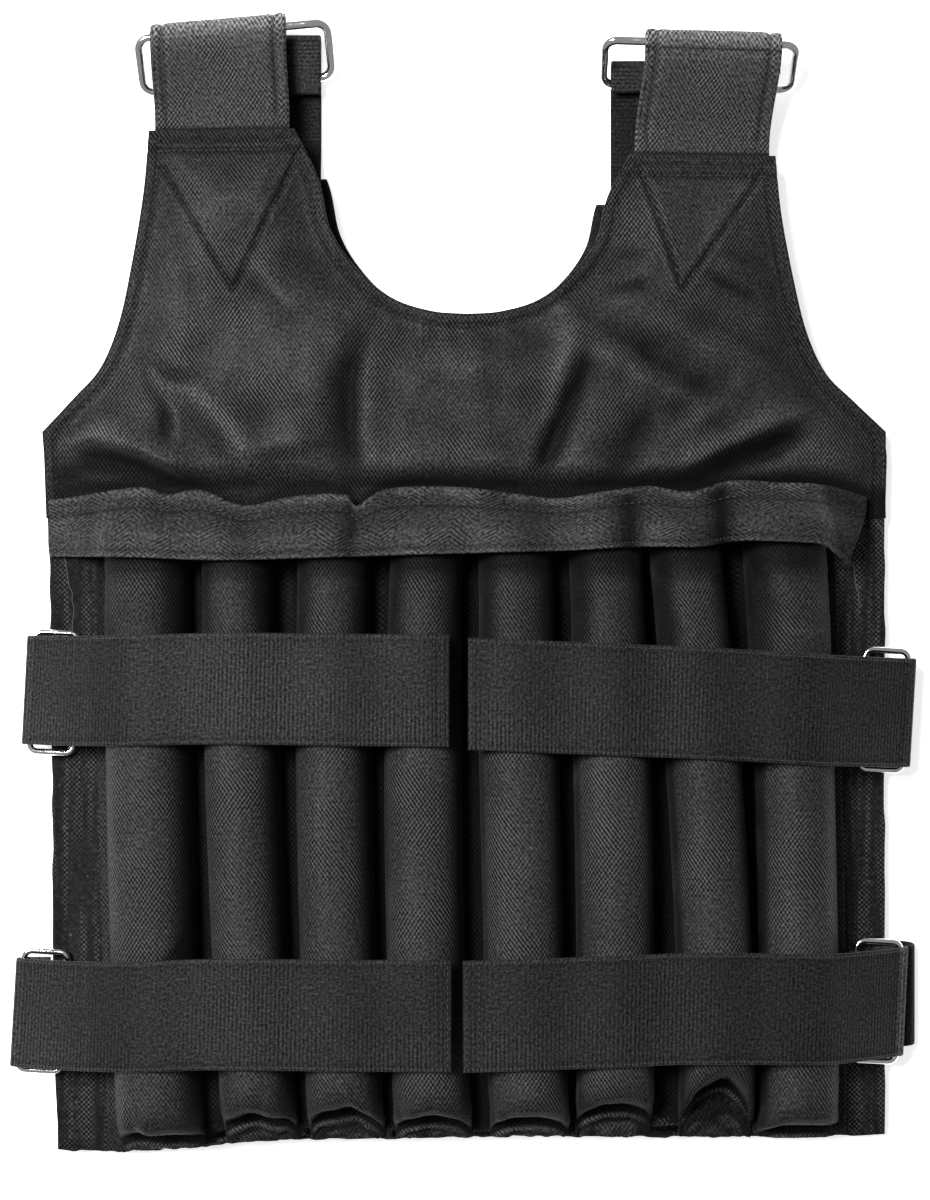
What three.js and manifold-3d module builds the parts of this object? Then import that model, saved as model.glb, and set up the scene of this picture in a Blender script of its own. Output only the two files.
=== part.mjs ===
// Weighted vest, laid on its back with the front up. Millimetres, +Z up, +Y towards the shoulders.
// While it is built, x = 0 is the middle line, y = 0 the hem and z = 0 the floor.

import * as THREE from 'three';
import { mergeVertices } from 'three/addons/utils/BufferGeometryUtils.js';
import Module from 'manifold-3d';

const wasm = await Module();
wasm.setup();

// Clearance between pieces that touch
const seat = 0.3;

// Panels
const panelWidth = 426;
const panelThickness = 4;
const sideHeight = 366;
const armholeHeight = 152;
const neckDrop = 94;
const hemRise = 7;
const shoulderInner = 87;
const shoulderWidth = 74;
const backDrop = 22;
const backNeckMargin = 5;
const edgeStep = 30;
const overrun = 1;

// Arch of the front over the space for the torso
const archRise = 24;
const archPower = 2.2;
const archCrest = 190;
const archHemFall = 0.14;
const archShoulderFall = 0.38;

// Cloth of the chest
const chestThickness = 2;
const chestBottom = 324;
const chestPuff = 6;
const hemWidth = 9;
const chestStep = 12;
const chestReach = 89;
const chestTuck = 16;
const tuckMargin = 3;
const flatEdge = 4;
const chestRoom = 4;

// Folds of the chest: both ends in shares of half the panel's width and of the chest's reach above
// the band, width in shares of that reach, and rise in shares of the chest's puff
const chestFolds = [
  { x0: -0.59, y0: 0.5, x1: -0.48, y1: 0.06, width: 0.157, rise: 0.92 },
  { x0: 0.28, y0: 1.05, x1: 0.19, y1: 0.3, width: 0.135, rise: 0.83 },
  { x0: -0.27, y0: 0.98, x1: -0.27, y1: 0.0, width: 0.09, rise: -1.0 },
  { x0: 0.26, y0: 0.66, x1: 0.17, y1: 0.0, width: 0.08, rise: -0.83 },
  { x0: 0.7, y0: 0.4, x1: 0.41, y1: 0.0, width: 0.09, rise: -0.83 },
  { x0: 0.68, y0: 0.62, x1: 0.42, y1: 0.25, width: 0.112, rise: 0.67 },
  { x0: -0.9, y0: 0.2, x1: -0.78, y1: 0.24, width: 0.09, rise: -0.75 },
  { x0: -0.78, y0: 0.24, x1: -0.61, y1: 0.0, width: 0.09, rise: -0.83 },
  { x0: -0.86, y0: 0.42, x1: -0.68, y1: 0.36, width: 0.1, rise: 0.67 },
  { x0: -0.51, y0: 1.26, x1: -0.37, y1: 0.95, width: 0.1, rise: 0.5 },
  { x0: 0.27, y0: 1.06, x1: 0.66, y1: 0.6, width: 0.124, rise: -0.5 },
];

// Sleeves for the weights
const pocketPitch = 45.7;
const pocketWidth = 41;
const pocketHeight = 29;
const pocketCloth = 1.5;
const pocketTop = 312;
const pocketFoot = 4;
const pocketFlange = 8;
const pocketSteps = 8;
const roundAcross = 0.82;
const roundUp = 0.72;

// Each sleeve: how far its mouth and its foot lean, in shares of the pitch, and its width, in shares
const pockets = [
  { mouth: -0.02, foot: 0.02, wide: 1.03 },
  { mouth: 0.0, foot: 0.0, wide: 0.96 },
  { mouth: 0.01, foot: 0.0, wide: 0.98 },
  { mouth: 0.0, foot: 0.01, wide: 0.98 },
  { mouth: 0.0, foot: 0.05, wide: 1.0 },
  { mouth: 0.03, foot: 0.03, wide: 0.96 },
  { mouth: -0.06, foot: 0.1, wide: 1.0 },
  { mouth: -0.04, foot: 0.08, wide: 1.02 },
];

// Rise of the sleeves along their length, from foot to mouth, in shares of length and height
const pocketRise = [
  { along: 0.0, rise: 0.1 },
  { along: 0.025, rise: 0.42 },
  { along: 0.06, rise: 0.78 },
  { along: 0.12, rise: 1.0 },
  { along: 0.4, rise: 1.0 },
  { along: 0.7, rise: 1.0 },
  { along: 1.0, rise: 0.95 },
];

// Bags of weight in the sleeves
const bagClearance = 0.5;
const bagFoot = 36;
const bagMouthMargin = 9;
const bagEndRound = 7;
const bagEndScale = 0.72;

// Band over the mouths of the sleeves, whose foot lies loose on them
const flapTop = 335;
const flapHeight = 32;
const flapThickness = 1.5;
const flapLoose = 200;
const flapSag = 0.16;
const flapTopRise = 11;
const flapWave = 2.2;
const flapDroop = 7;
const flapRows = 5;
const flapEnd = 1;
const flapLift = 0.5;
const flapFlatEnd = 4;
const flapStep = 12.5;
const flapWaveTurn = 4.1;
const flapSewnShare = 0.05;
const flapFullShare = 0.68;
const flapLooseSink = 0.55;

// Straps round the waist
const strapWidth = 55;
const strapThickness = 2;
const strapSag = 1.4;
const strapLift = 0.9;
const strapReturn = 13.2;
const strapSteps = 22;
const sideWire = 3.4;
const sideRingWidth = 22;
const ringSlack = 1;
const tabWidth = 40;
const tabThickness = 1.6;
const tabSewn = 17;
const tabWrap = 0.8;
const tabBulge = 1;
const tabOver = 5;
const tabTail = 9;
const sideRingCorner = 4;
const foldSteps = 6;

// Each strap: height of its sewn end and of its fold in shares of the side's height, how far both lie
// from the middle in shares of half the panel's width, how far its fold turns in degrees, and how far
// its ring's tab stands off the panel's edge in shares of the tab's width
const straps = [
  {
    name: 'upper_left', sign: -1, sewn: 0.645, side: 0.65,
    start: 0.04, fold: 1.052, turn: 3, tab: 0.105,
  },
  {
    name: 'upper_right', sign: 1, sewn: 0.641, side: 0.616,
    start: 0.002, fold: 1.061, turn: 3.4, tab: 0.105,
  },
  {
    name: 'lower_left', sign: -1, sewn: 0.21, side: 0.21,
    start: 0.035, fold: 1.08, turn: 3.4, tab: 0.125,
  },
  {
    name: 'lower_right', sign: 1, sewn: 0.209, side: 0.227,
    start: -0.01, fold: 1.042, turn: 2.1, tab: 0.325,
  },
].map((strap) => ({
  ...strap,
  sewn: strap.sewn * sideHeight,
  side: strap.side * sideHeight,
  start: strap.start * panelWidth / 2,
  fold: strap.fold * panelWidth / 2,
  tab: strap.tab * tabWidth,
}));

// Straps and rings of the shoulders
const shoulderStrapWidth = 68.5;
const shoulderStrapThickness = 3.5;
const shoulderLap = 20;
const shoulderReturn = 14;
const shoulderWire = 4.6;
const shoulderRingLength = 97;
const shoulderRingDepth = 28;
const shoulderRingCorner = 6;
const webWidth = 50;
const webThickness = 2;
const webSewn = 30;
const webFloor = 1;
const webClear = 1.7;
const webSettle = 16;
const webRise = 8;
const shoulderLevel = 4;
const shoulderCols = 4;
const shoulderRows = 8;

// Each shoulder, in shares of the strap's width: how far its seam lies lower and nearer the middle, how
// far the strap reaches and leans to its fold, and how far the ring lies inwards. In degrees: how the
// fold turns and how steep the ring stands. In shares of the ring's depth: the webbing's loop and tail
const shoulders = [
  {
    name: 'left', sign: -1, drop: 0, inward: 0, reach: 0.745, lean: 0.03, shift: 0.102,
    turn: 5, steep: 24, slack: 0.39, tail: 0.32,
  },
  {
    name: 'right', sign: 1, drop: 0.19, inward: 0.073, reach: 0.818, lean: 0.073, shift: 0.088,
    turn: -1.6, steep: 48, slack: 0.18, tail: 0.21,
  },
].map((shoulder) => ({
  ...shoulder,
  drop: shoulder.drop * shoulderStrapWidth,
  inward: shoulder.inward * shoulderStrapWidth,
  reach: shoulder.reach * shoulderStrapWidth,
  lean: shoulder.lean * shoulderStrapWidth,
  shift: shoulder.shift * shoulderStrapWidth,
  slack: shoulder.slack * shoulderRingDepth,
  tail: shoulder.tail * shoulderRingDepth,
}));

// Armhole from the shoulder seam to the side, and neckline from the seam to the middle, in shares
const armhole = [
  { across: 0.0, down: 0.0 },
  { across: 0.05, down: 0.21 },
  { across: 0.16, down: 0.45 },
  { across: 0.28, down: 0.645 },
  { across: 0.45, down: 0.79 },
  { across: 0.69, down: 0.885 },
  { across: 1.0, down: 1.0 },
];
const neckline = [
  { across: 0.0, down: 0.0 },
  { across: 0.14, down: 0.27 },
  { across: 0.21, down: 0.54 },
  { across: 0.355, down: 0.745 },
  { across: 0.56, down: 0.91 },
  { across: 0.79, down: 0.983 },
  { across: 1.0, down: 1.0 },
];
const curveSteps = 12;

const halfPanel = panelWidth / 2;
const seamHeight = sideHeight + armholeHeight;
const neckHeight = seamHeight - neckDrop;
const pocketCount = pockets.length;
const frontLift = panelThickness + tabThickness + 2 * seat;

const cloth = { base: 0x1b1b1c, oxford: 0x2c2c2d, band: 0x333334, webbing: 0x303031, bag: 0x232324 };

// Materials
function fabric(colour, roughness) {
  return new THREE.MeshStandardMaterial({ color: colour, roughness, metalness: 0 });
}

function chrome() {
  return new THREE.MeshStandardMaterial({ color: 0xd9dadc, roughness: 0.12, metalness: 1 });
}

// Value of a table's column at a place given by another column, with an even run between rows
function readTable(table, place, column, at) {
  let low = table[0];
  for (const row of table) {
    if (row[place] >= at) {
      const run = row[place] - low[place];
      const share = run > 0 ? (at - low[place]) / run : 0;
      return THREE.MathUtils.lerp(low[column], row[column], share);
    }
    low = row;
  }
  return low[column];
}

// Underside and top of the front panel
function frontUnder(x, y) {
  const across = Math.min(1, Math.abs(x) / halfPanel);
  const fall = y < archCrest
    ? archHemFall * (1 - y / archCrest) ** 2
    : archShoulderFall * ((y - archCrest) / (seamHeight - archCrest)) ** 2;
  return frontLift + archRise * (1 - fall) * (1 - across ** archPower);
}

function frontTop(x, y) {
  return frontUnder(x, y) + panelThickness;
}

function frontSlope(x, y) {
  const step = 1;
  return (frontTop(x + step, y) - frontTop(x - step, y)) / (2 * step);
}

// Closed body between two grids of points, with its faces turned outwards
function bodyBetween(upper, lower) {
  const rows = upper.length;
  const cols = upper[0].length;
  const points = [...upper.flat(), ...lower.flat()];
  const at = (layer, i, j) => layer * rows * cols + i * cols + j;
  const faces = [];
  const quad = (a, b, c, d) => faces.push(a, b, c, a, c, d);
  for (let i = 0; i < rows - 1; i += 1) {
    for (let j = 0; j < cols - 1; j += 1) {
      quad(at(0, i, j), at(0, i, j + 1), at(0, i + 1, j + 1), at(0, i + 1, j));
      quad(at(1, i, j), at(1, i + 1, j), at(1, i + 1, j + 1), at(1, i, j + 1));
    }
  }
  for (let j = 0; j < cols - 1; j += 1) {
    quad(at(0, 0, j), at(1, 0, j), at(1, 0, j + 1), at(0, 0, j + 1));
    quad(at(0, rows - 1, j), at(0, rows - 1, j + 1), at(1, rows - 1, j + 1), at(1, rows - 1, j));
  }
  for (let i = 0; i < rows - 1; i += 1) {
    quad(at(0, i, 0), at(0, i + 1, 0), at(1, i + 1, 0), at(1, i, 0));
    quad(at(0, i, cols - 1), at(1, i, cols - 1), at(1, i + 1, cols - 1), at(0, i + 1, cols - 1));
  }
  return outward(points, faces);
}

// Geometry of a closed body, turned so that its volume is positive
function outward(points, faces) {
  let volume = 0;
  const normal = new THREE.Vector3();
  for (let f = 0; f < faces.length; f += 3) {
    normal.crossVectors(points[faces[f + 1]], points[faces[f + 2]]);
    volume += points[faces[f]].dot(normal);
  }
  if (volume < 0) faces.reverse();
  const geometry = new THREE.BufferGeometry().setFromPoints(points);
  geometry.setIndex(faces);
  return geometry;
}

// Sheet of cloth: a grid of points in the middle of its thickness
function sheet(grid, thickness) {
  const rows = grid.length;
  const cols = grid[0].length;
  const upper = [];
  const lower = [];
  for (let i = 0; i < rows; i += 1) {
    upper.push([]);
    lower.push([]);
    for (let j = 0; j < cols; j += 1) {
      const along = grid[i][Math.min(j + 1, cols - 1)].clone().sub(grid[i][Math.max(j - 1, 0)]);
      const across = grid[Math.min(i + 1, rows - 1)][j].clone().sub(grid[Math.max(i - 1, 0)][j]);
      const half = along.cross(across).setLength(thickness / 2);
      upper[i].push(grid[i][j].clone().add(half));
      lower[i].push(grid[i][j].clone().sub(half));
    }
  }
  return bodyBetween(upper, lower);
}

// Slab over a rectangle, between two heights that are functions of x and y
function slab(x0, x1, y0, y1, step, low, high) {
  const cols = Math.ceil((x1 - x0) / step);
  const rows = Math.ceil((y1 - y0) / step);
  const grid = (height) => {
    const result = [];
    for (let i = 0; i <= rows; i += 1) {
      const y = THREE.MathUtils.lerp(y0, y1, i / rows);
      const row = [];
      for (let j = 0; j <= cols; j += 1) {
        const x = THREE.MathUtils.lerp(x0, x1, j / cols);
        row.push(new THREE.Vector3(x, y, height(x, y)));
      }
      result.push(row);
    }
    return result;
  };
  return bodyBetween(grid(high), grid(low));
}

// Solids for cutting, and back again
function toSolid(geometry) {
  const bare = geometry.clone();
  bare.deleteAttribute('normal');
  bare.deleteAttribute('uv');
  const merged = mergeVertices(bare, 1e-4);
  return new wasm.Manifold(new wasm.Mesh({
    numProp: 3,
    vertProperties: new Float32Array(merged.attributes.position.array),
    triVerts: new Uint32Array(merged.index.array),
  }));
}

function toGeometry(solid) {
  const mesh = solid.getMesh();
  const geometry = new THREE.BufferGeometry();
  geometry.setAttribute('position', new THREE.BufferAttribute(mesh.vertProperties, 3));
  geometry.setIndex(new THREE.BufferAttribute(mesh.triVerts, 1));
  return geometry;
}

// Upright prism over an outline
function prism(outline, low, high) {
  const body = new THREE.ExtrudeGeometry(new THREE.Shape(outline), {
    depth: high - low,
    bevelEnabled: false,
  });
  return body.translate(0, 0, low);
}

// Smooth run of points through a table of shares, from one corner to another
function tableCurve(table, start, end) {
  const knots = table.map((row) => new THREE.Vector3(
    THREE.MathUtils.lerp(start.x, end.x, row.across),
    THREE.MathUtils.lerp(start.y, end.y, row.down),
    0,
  ));
  const points = new THREE.CatmullRomCurve3(knots).getPoints(curveSteps);
  return points.map((point) => new THREE.Vector2(point.x, point.y));
}

// Ends of a shoulder's seam
function seamEnds(shoulder, cut, neckMargin) {
  const height = seamHeight - shoulder.drop - cut;
  const inner = shoulderInner - shoulder.inward - neckMargin;
  const outer = shoulderInner - shoulder.inward + shoulderWidth;
  return {
    inner: new THREE.Vector2(shoulder.sign * inner, height),
    outer: new THREE.Vector2(shoulder.sign * outer, height),
  };
}

// Outline of a panel, anticlockwise from the left foot: hem, side, armhole, shoulder and neck
function panelOutline(cut, neckMargin) {
  const neck = new THREE.Vector2(0, neckHeight);
  const half = (shoulder) => {
    const whole = seamEnds(shoulder, 0, neckMargin);
    const side = new THREE.Vector2(shoulder.sign * halfPanel, sideHeight);
    const arm = tableCurve(armhole, whole.outer, side);
    const collar = tableCurve(neckline, whole.inner, neck);
    const limit = whole.inner.y - cut;
    return {
      arm: cutAbove(arm, limit),
      collar: cutAbove(collar, limit),
    };
  };
  const right = half(shoulders[1]);
  const left = half(shoulders[0]);
  return [
    new THREE.Vector2(-halfPanel, 0),
    new THREE.Vector2(halfPanel, hemRise),
    ...right.arm.reverse(),
    ...right.collar.slice(0, -1),
    ...left.collar.reverse(),
    ...left.arm,
  ];
}

// Part of a falling curve that lies under a height, cut square at that height
function cutAbove(points, limit) {
  const first = points.findIndex((point) => point.y < limit - seat);
  if (first < 1) return points;
  const high = points[first - 1];
  const low = points[first];
  const share = (high.y - limit) / (high.y - low.y);
  return [high.clone().lerp(low, share), ...points.slice(first)];
}

// Shortest way from a point to a closed outline
function distanceToOutline(outline, x, y) {
  let best = Infinity;
  outline.forEach((start, i) => {
    const end = outline[(i + 1) % outline.length];
    best = Math.min(best, distanceToRun(x, y, start.x, start.y, end.x, end.y));
  });
  return best;
}

function distanceToRun(x, y, x0, y0, x1, y1) {
  const length = (x1 - x0) ** 2 + (y1 - y0) ** 2;
  const share = ((x - x0) * (x1 - x0) + (y - y0) * (y1 - y0)) / length;
  const t = THREE.MathUtils.clamp(share, 0, 1);
  return Math.hypot(x - x0 - t * (x1 - x0), y - y0 - t * (y1 - y0));
}

// Back panel, flat on the floor
function backPanel() {
  return prism(panelOutline(backDrop, backNeckMargin), 0, panelThickness);
}

// Front panel, arched, cut back at the shoulders to make room for the straps' sewn ends
function frontPanel() {
  const side = halfPanel + overrun;
  const over = slab(-side, side, -overrun, seamHeight, edgeStep, frontUnder, frontTop);
  const block = prism(panelOutline(shoulderLap, 0), 0, archRise + 2 * frontLift);
  return toGeometry(toSolid(over).intersect(toSolid(block)));
}

// Outer cloth of the chest: puffed, folded, and flat where it is sewn down round its edge
function chestCloth() {
  const outline = panelOutline(0, 0);
  const under = (x, y) => {
    const inside = distanceToOutline(outline, x, y);
    const edge = THREE.MathUtils.smoothstep(inside, hemWidth / 2, flatEdge * hemWidth);
    const tucked = THREE.MathUtils.smoothstep(y, flapTop - tuckMargin, flapTop + chestTuck);
    let rise = chestPuff;
    for (const fold of chestFolds) {
      const away = distanceToRun(
        x, y,
        fold.x0 * halfPanel, flapTop + fold.y0 * chestReach,
        fold.x1 * halfPanel, flapTop + fold.y1 * chestReach,
      );
      rise += fold.rise * chestPuff * Math.exp(-((away / (fold.width * chestReach)) ** 2));
    }
    return frontTop(x, y) + seat + edge * tucked * Math.max(0, rise);
  };
  const over = (x, y) => under(x, y) + chestThickness;
  const side = halfPanel + overrun;
  const whole = slab(-side, side, chestBottom, seamHeight + overrun, chestStep, under, over);
  const block = prism(outline, 0, archRise + chestRoom * frontLift);
  return toGeometry(toSolid(whole).intersect(toSolid(block)));
}

// Middle of a sleeve at a share of its length from foot to mouth
function pocketMiddle(index, along) {
  const pocket = pockets[index];
  const lean = THREE.MathUtils.lerp(pocket.foot, pocket.mouth, along);
  return (index - (pocketCount - 1) / 2 + lean) * pocketPitch;
}

function pocketY(along) {
  return THREE.MathUtils.lerp(pocketFoot, pocketTop, along);
}

// Points of a sleeve's arch over the front panel, drawn in from its outside by an inset, or of its foot
function pocketArch(index, along, lift, inset, scale, lying = false) {
  const y = pocketY(along);
  const middle = pocketMiddle(index, along);
  const half = (pocketWidth * pockets[index].wide / 2 - inset) * scale;
  const height = (pocketHeight - inset) * readTable(pocketRise, 'along', 'rise', along) * scale;
  const slope = frontSlope(middle, y);
  const norm = Math.hypot(slope, 1);
  const points = [];
  for (let step = 0; step <= pocketSteps; step += 1) {
    const angle = Math.PI * (1 - step / pocketSteps);
    const across = half * Math.sign(Math.cos(angle)) * Math.abs(Math.cos(angle)) ** roundAcross;
    const up = height * Math.max(0, Math.sin(angle)) ** roundUp * (lying ? 0 : 1);
    points.push(new THREE.Vector3(
      middle + across - slope * up / norm,
      y,
      frontTop(middle + across, y) + lift + up / norm,
    ));
  }
  return points;
}

// One cloth sewn down between the weights in upright sleeves
function pocketSheet() {
  const lift = seat + pocketCloth / 2;
  const grid = pocketRise.map(({ along }) => {
    const row = pockets.flatMap((pocket, index) => pocketArch(index, along, lift, 0, 1));
    const flange = (point, out) => new THREE.Vector3(
      point.x + out,
      point.y,
      frontTop(point.x + out, point.y) + lift,
    );
    return [flange(row[0], -pocketFlange), ...row, flange(row[row.length - 1], pocketFlange)];
  });
  return sheet(grid, pocketCloth);
}

// Bag of weight, flat below and round above, closed by drawn-in ends
function weightBag(index) {
  const inset = pocketCloth / 2 + bagClearance;
  const length = pocketTop - pocketFoot;
  const low = bagFoot / length;
  const high = 1 - bagMouthMargin / length;
  const round = bagEndRound / length;
  const stations = [
    { along: low, scale: bagEndScale },
    { along: low + round, scale: 1 },
    { along: 0.4, scale: 1 },
    { along: 0.7, scale: 1 },
    { along: high - round, scale: 1 },
    { along: high, scale: bagEndScale },
  ];
  const side = (lying) => stations.map(({ along, scale }) => (
    pocketArch(index, along, seat, inset, scale, lying).slice(1, -1)
  ));
  return bodyBetween(side(false), side(true));
}

// Outermost point of the sleeves' tops at a place across, for what lies over them
function sleeveCrest(x, along, sag) {
  const first = pocketMiddle(0, along);
  const last = pocketMiddle(pocketCount - 1, along);
  const inside = THREE.MathUtils.clamp(x, first, last);
  let nearest = Infinity;
  for (let index = 0; index < pocketCount; index += 1) {
    nearest = Math.min(nearest, Math.abs(inside - pocketMiddle(index, along)));
  }
  const valley = (1 - Math.cos(2 * Math.PI * nearest / pocketPitch)) / 2;
  return pocketHeight * (1 - sag * valley);
}

// Twill band over the mouths: sewn at its left end and top edge, loose at its right end
function pocketFlap() {
  const left = flapEnd - halfPanel;
  const cols = Math.round((flapLoose - left) / flapStep) + 1;
  const first = pocketMiddle(0, 1);
  const last = pocketMiddle(pocketCount - 1, 1);
  const rest = seat + chestThickness + seat + flapThickness / 2 + flapLift;
  const grid = [];
  for (let i = 0; i <= flapRows; i += 1) {
    const down = i / flapRows;
    const row = [];
    for (let j = 0; j <= cols; j += 1) {
      const x = THREE.MathUtils.lerp(left, flapLoose, j / cols);
      const endLeft = THREE.MathUtils.smoothstep(x, left + flapFlatEnd, first - pocketWidth / 3);
      const endRight = THREE.MathUtils.smoothstep(x, last + flapFlatEnd, flapLoose + pocketWidth / 5);
      const droop = flapDroop * endRight ** 2 * down;
      const wave = flapWave * Math.sin(x / pocketPitch * flapWaveTurn + 1) * (1 - down);
      const y = flapTop - flapHeight * down - droop + wave;
      const crest = sleeveCrest(x, 1, flapSag) + pocketCloth + flapThickness + 2 * seat;
      const full = THREE.MathUtils.smoothstep(down, flapSewnShare, flapFullShare);
      const high = THREE.MathUtils.lerp(flapTopRise, crest, full);
      const rise = high * endLeft * (1 - flapLooseSink * endRight);
      row.push(new THREE.Vector3(x, y, frontTop(x, y) + Math.max(rest, rise)));
    }
    grid.push(row);
  }
  return sheet(grid, flapThickness);
}

// Highest broken line over a run of points that are given from left to right
function tautOver(points) {
  const hull = [];
  for (const point of points) {
    while (hull.length > 1) {
      const a = hull[hull.length - 2];
      const b = hull[hull.length - 1];
      const turn = (b.x - a.x) * (point.y - a.y) - (b.y - a.y) * (point.x - a.x);
      if (turn < 0) break;
      hull.pop();
    }
    hull.push(point);
  }
  return hull;
}

function heightOnLine(line, x) {
  const end = Math.max(1, line.findIndex((point) => point.x >= x));
  const low = line[end - 1];
  const high = line[end];
  return THREE.MathUtils.lerp(low.y, high.y, (x - low.x) / (high.x - low.x));
}

// Level and bars of a side ring, worked out from what lies under it
function sideRingPlace(strap) {
  const wire = sideWire / 2;
  const outer = strap.fold - strapThickness - seat - wire;
  const inner = outer - sideRingWidth;
  const underReturn = frontTop(outer - strapReturn, strap.side) + 3 * seat + tabThickness + strapThickness;
  const underTab = frontTop(inner, strap.side) + seat + tabThickness;
  return { outer, inner, level: Math.max(underReturn, underTab) + seat + wire };
}

// Waist strap: sewn near the middle, taut over the sleeves, folded round the ring's outer bar
function waistStrap(strap) {
  const ring = sideRingPlace(strap);
  const wrap = sideWire / 2 + seat + strapThickness / 2;
  const shear = Math.tan(THREE.MathUtils.degToRad(strap.turn));
  const grid = [-0.5, 0.5].map((side) => {
    const offset = side * strapWidth;
    const fold = ring.outer + strap.sign * shear * offset;
    const ySide = strap.side + offset;
    const along = (strap.side + offset - pocketFoot) / (pocketTop - pocketFoot);
    const clear = pocketCloth / 2 + strapLift + strapThickness / 2;
    const outline = pockets
      .flatMap((pocket, index) => pocketArch(index, along, seat + pocketCloth / 2, -clear, 1))
      .map((point) => new THREE.Vector2(strap.sign * point.x, point.z))
      .filter((point) => point.x > strap.start)
      .sort((a, b) => a.x - b.x);
    const level = outline.reduce((top, point) => (point.x < pocketPitch ? Math.max(top, point.y) : top), 0);
    const line = tautOver([
      new THREE.Vector2(strap.start, level),
      ...outline.filter((point) => point.x < ring.inner),
      new THREE.Vector2(fold, ring.level + wrap),
    ]);
    const row = [];
    for (let step = 0; step < strapSteps; step += 1) {
      const share = step / strapSteps;
      const x = THREE.MathUtils.lerp(strap.start, fold, share);
      const crest = sleeveCrest(strap.sign * x, along, 1) / pocketHeight;
      const sag = x < ring.inner ? strapSag * (1 - crest) : 0;
      const y = THREE.MathUtils.lerp(strap.sewn, strap.side, share) + offset;
      row.push(new THREE.Vector3(strap.sign * x, y, heightOnLine(line, x) - sag));
    }
    for (let step = 0; step <= foldSteps; step += 1) {
      const angle = Math.PI * (0.5 - step / foldSteps);
      row.push(new THREE.Vector3(
        strap.sign * (fold + wrap * Math.cos(angle)),
        ySide,
        ring.level + wrap * Math.sin(angle),
      ));
    }
    row.push(new THREE.Vector3(strap.sign * (fold - strapReturn), ySide, ring.level - wrap));
    return row;
  });
  return sheet(grid, strapThickness);
}

// Closed wire loop in a plane: a rectangle with round corners, about its own middle
function wireLoop(length, depth, corner, wire, cornerSteps, sides) {
  const centres = [];
  const corners = [
    { x: length / 2 - corner, y: depth / 2 - corner, start: 0 },
    { x: corner - length / 2, y: depth / 2 - corner, start: 1 },
    { x: corner - length / 2, y: corner - depth / 2, start: 2 },
    { x: length / 2 - corner, y: corner - depth / 2, start: 3 },
  ];
  for (const bend of corners) {
    for (let step = 0; step <= cornerSteps; step += 1) {
      const angle = Math.PI / 2 * (bend.start + step / cornerSteps);
      centres.push({ x: bend.x, y: bend.y, angle });
    }
  }
  const points = [];
  for (const centre of centres) {
    for (let side = 0; side < sides; side += 1) {
      const turn = 2 * Math.PI * side / sides;
      const out = corner + wire / 2 * Math.cos(turn);
      points.push(new THREE.Vector3(
        centre.x + out * Math.cos(centre.angle),
        centre.y + out * Math.sin(centre.angle),
        wire / 2 * Math.sin(turn),
      ));
    }
  }
  const faces = [];
  centres.forEach((centre, i) => {
    const next = (i + 1) % centres.length;
    for (let side = 0; side < sides; side += 1) {
      const after = (side + 1) % sides;
      const [a, b] = [i * sides + side, next * sides + side];
      const [c, d] = [next * sides + after, i * sides + after];
      faces.push(a, b, c, a, c, d);
    }
  });
  return outward(points, faces);
}

function sideRing(strap) {
  const place = sideRingPlace(strap);
  const height = strapWidth + 2 * ringSlack + sideWire;
  const loop = wireLoop(sideRingWidth, height, sideRingCorner, sideWire, 2, 6);
  loop.rotateZ(-THREE.MathUtils.degToRad(strap.turn));
  return loop.translate(strap.sign * (place.outer + place.inner) / 2, strap.side, place.level);
}

// Webbing tab: sewn to the back panel, round the front panel's edge and round the ring's inner bar
function ringTab(strap) {
  const ring = sideRingPlace(strap);
  const half = tabThickness / 2;
  const wrap = sideWire / 2 + seat + half;
  const sewn = panelThickness + seat + half;
  const over = (x) => frontTop(x, strap.side) + seat + half;
  const shear = Math.tan(THREE.MathUtils.degToRad(strap.turn));
  const edge = halfPanel;
  const clear = seat + half;
  const middle = frontLift + panelThickness / 2;
  const bulge = Math.max(clear + tabBulge, strap.tab);
  const corner = Math.max(clear + tabBulge, strap.tab * tabWrap);
  const profile = [
    { x: edge - tabSewn, z: sewn, lean: 0 },
    { x: edge + seat, z: sewn, lean: 0 },
    { x: edge + corner, z: sewn + seat, lean: 0 },
    { x: edge + bulge, z: middle - seat, lean: 0 },
    { x: edge + corner, z: over(edge) - seat, lean: 0 },
    { x: edge - seat, z: over(edge) + seat, lean: 0 },
    { x: ring.inner + tabOver, z: over(ring.inner + tabOver), lean: 0 },
  ];
  for (let step = 0; step <= foldSteps; step += 1) {
    const angle = -Math.PI / 2 - Math.PI * step / foldSteps;
    profile.push({
      x: ring.inner + wrap * Math.cos(angle),
      z: ring.level + wrap * Math.sin(angle),
      lean: 1,
    });
  }
  profile.push({ x: ring.inner + tabTail, z: ring.level + wrap, lean: 1 });
  const grid = [-0.5, 0.5].map((side) => profile.map((point) => {
    const offset = side * tabWidth;
    const lean = strap.sign * shear * offset * point.lean;
    return new THREE.Vector3(strap.sign * (point.x + lean), strap.side + offset, point.z);
  }));
  return sheet(grid, tabThickness);
}

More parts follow.
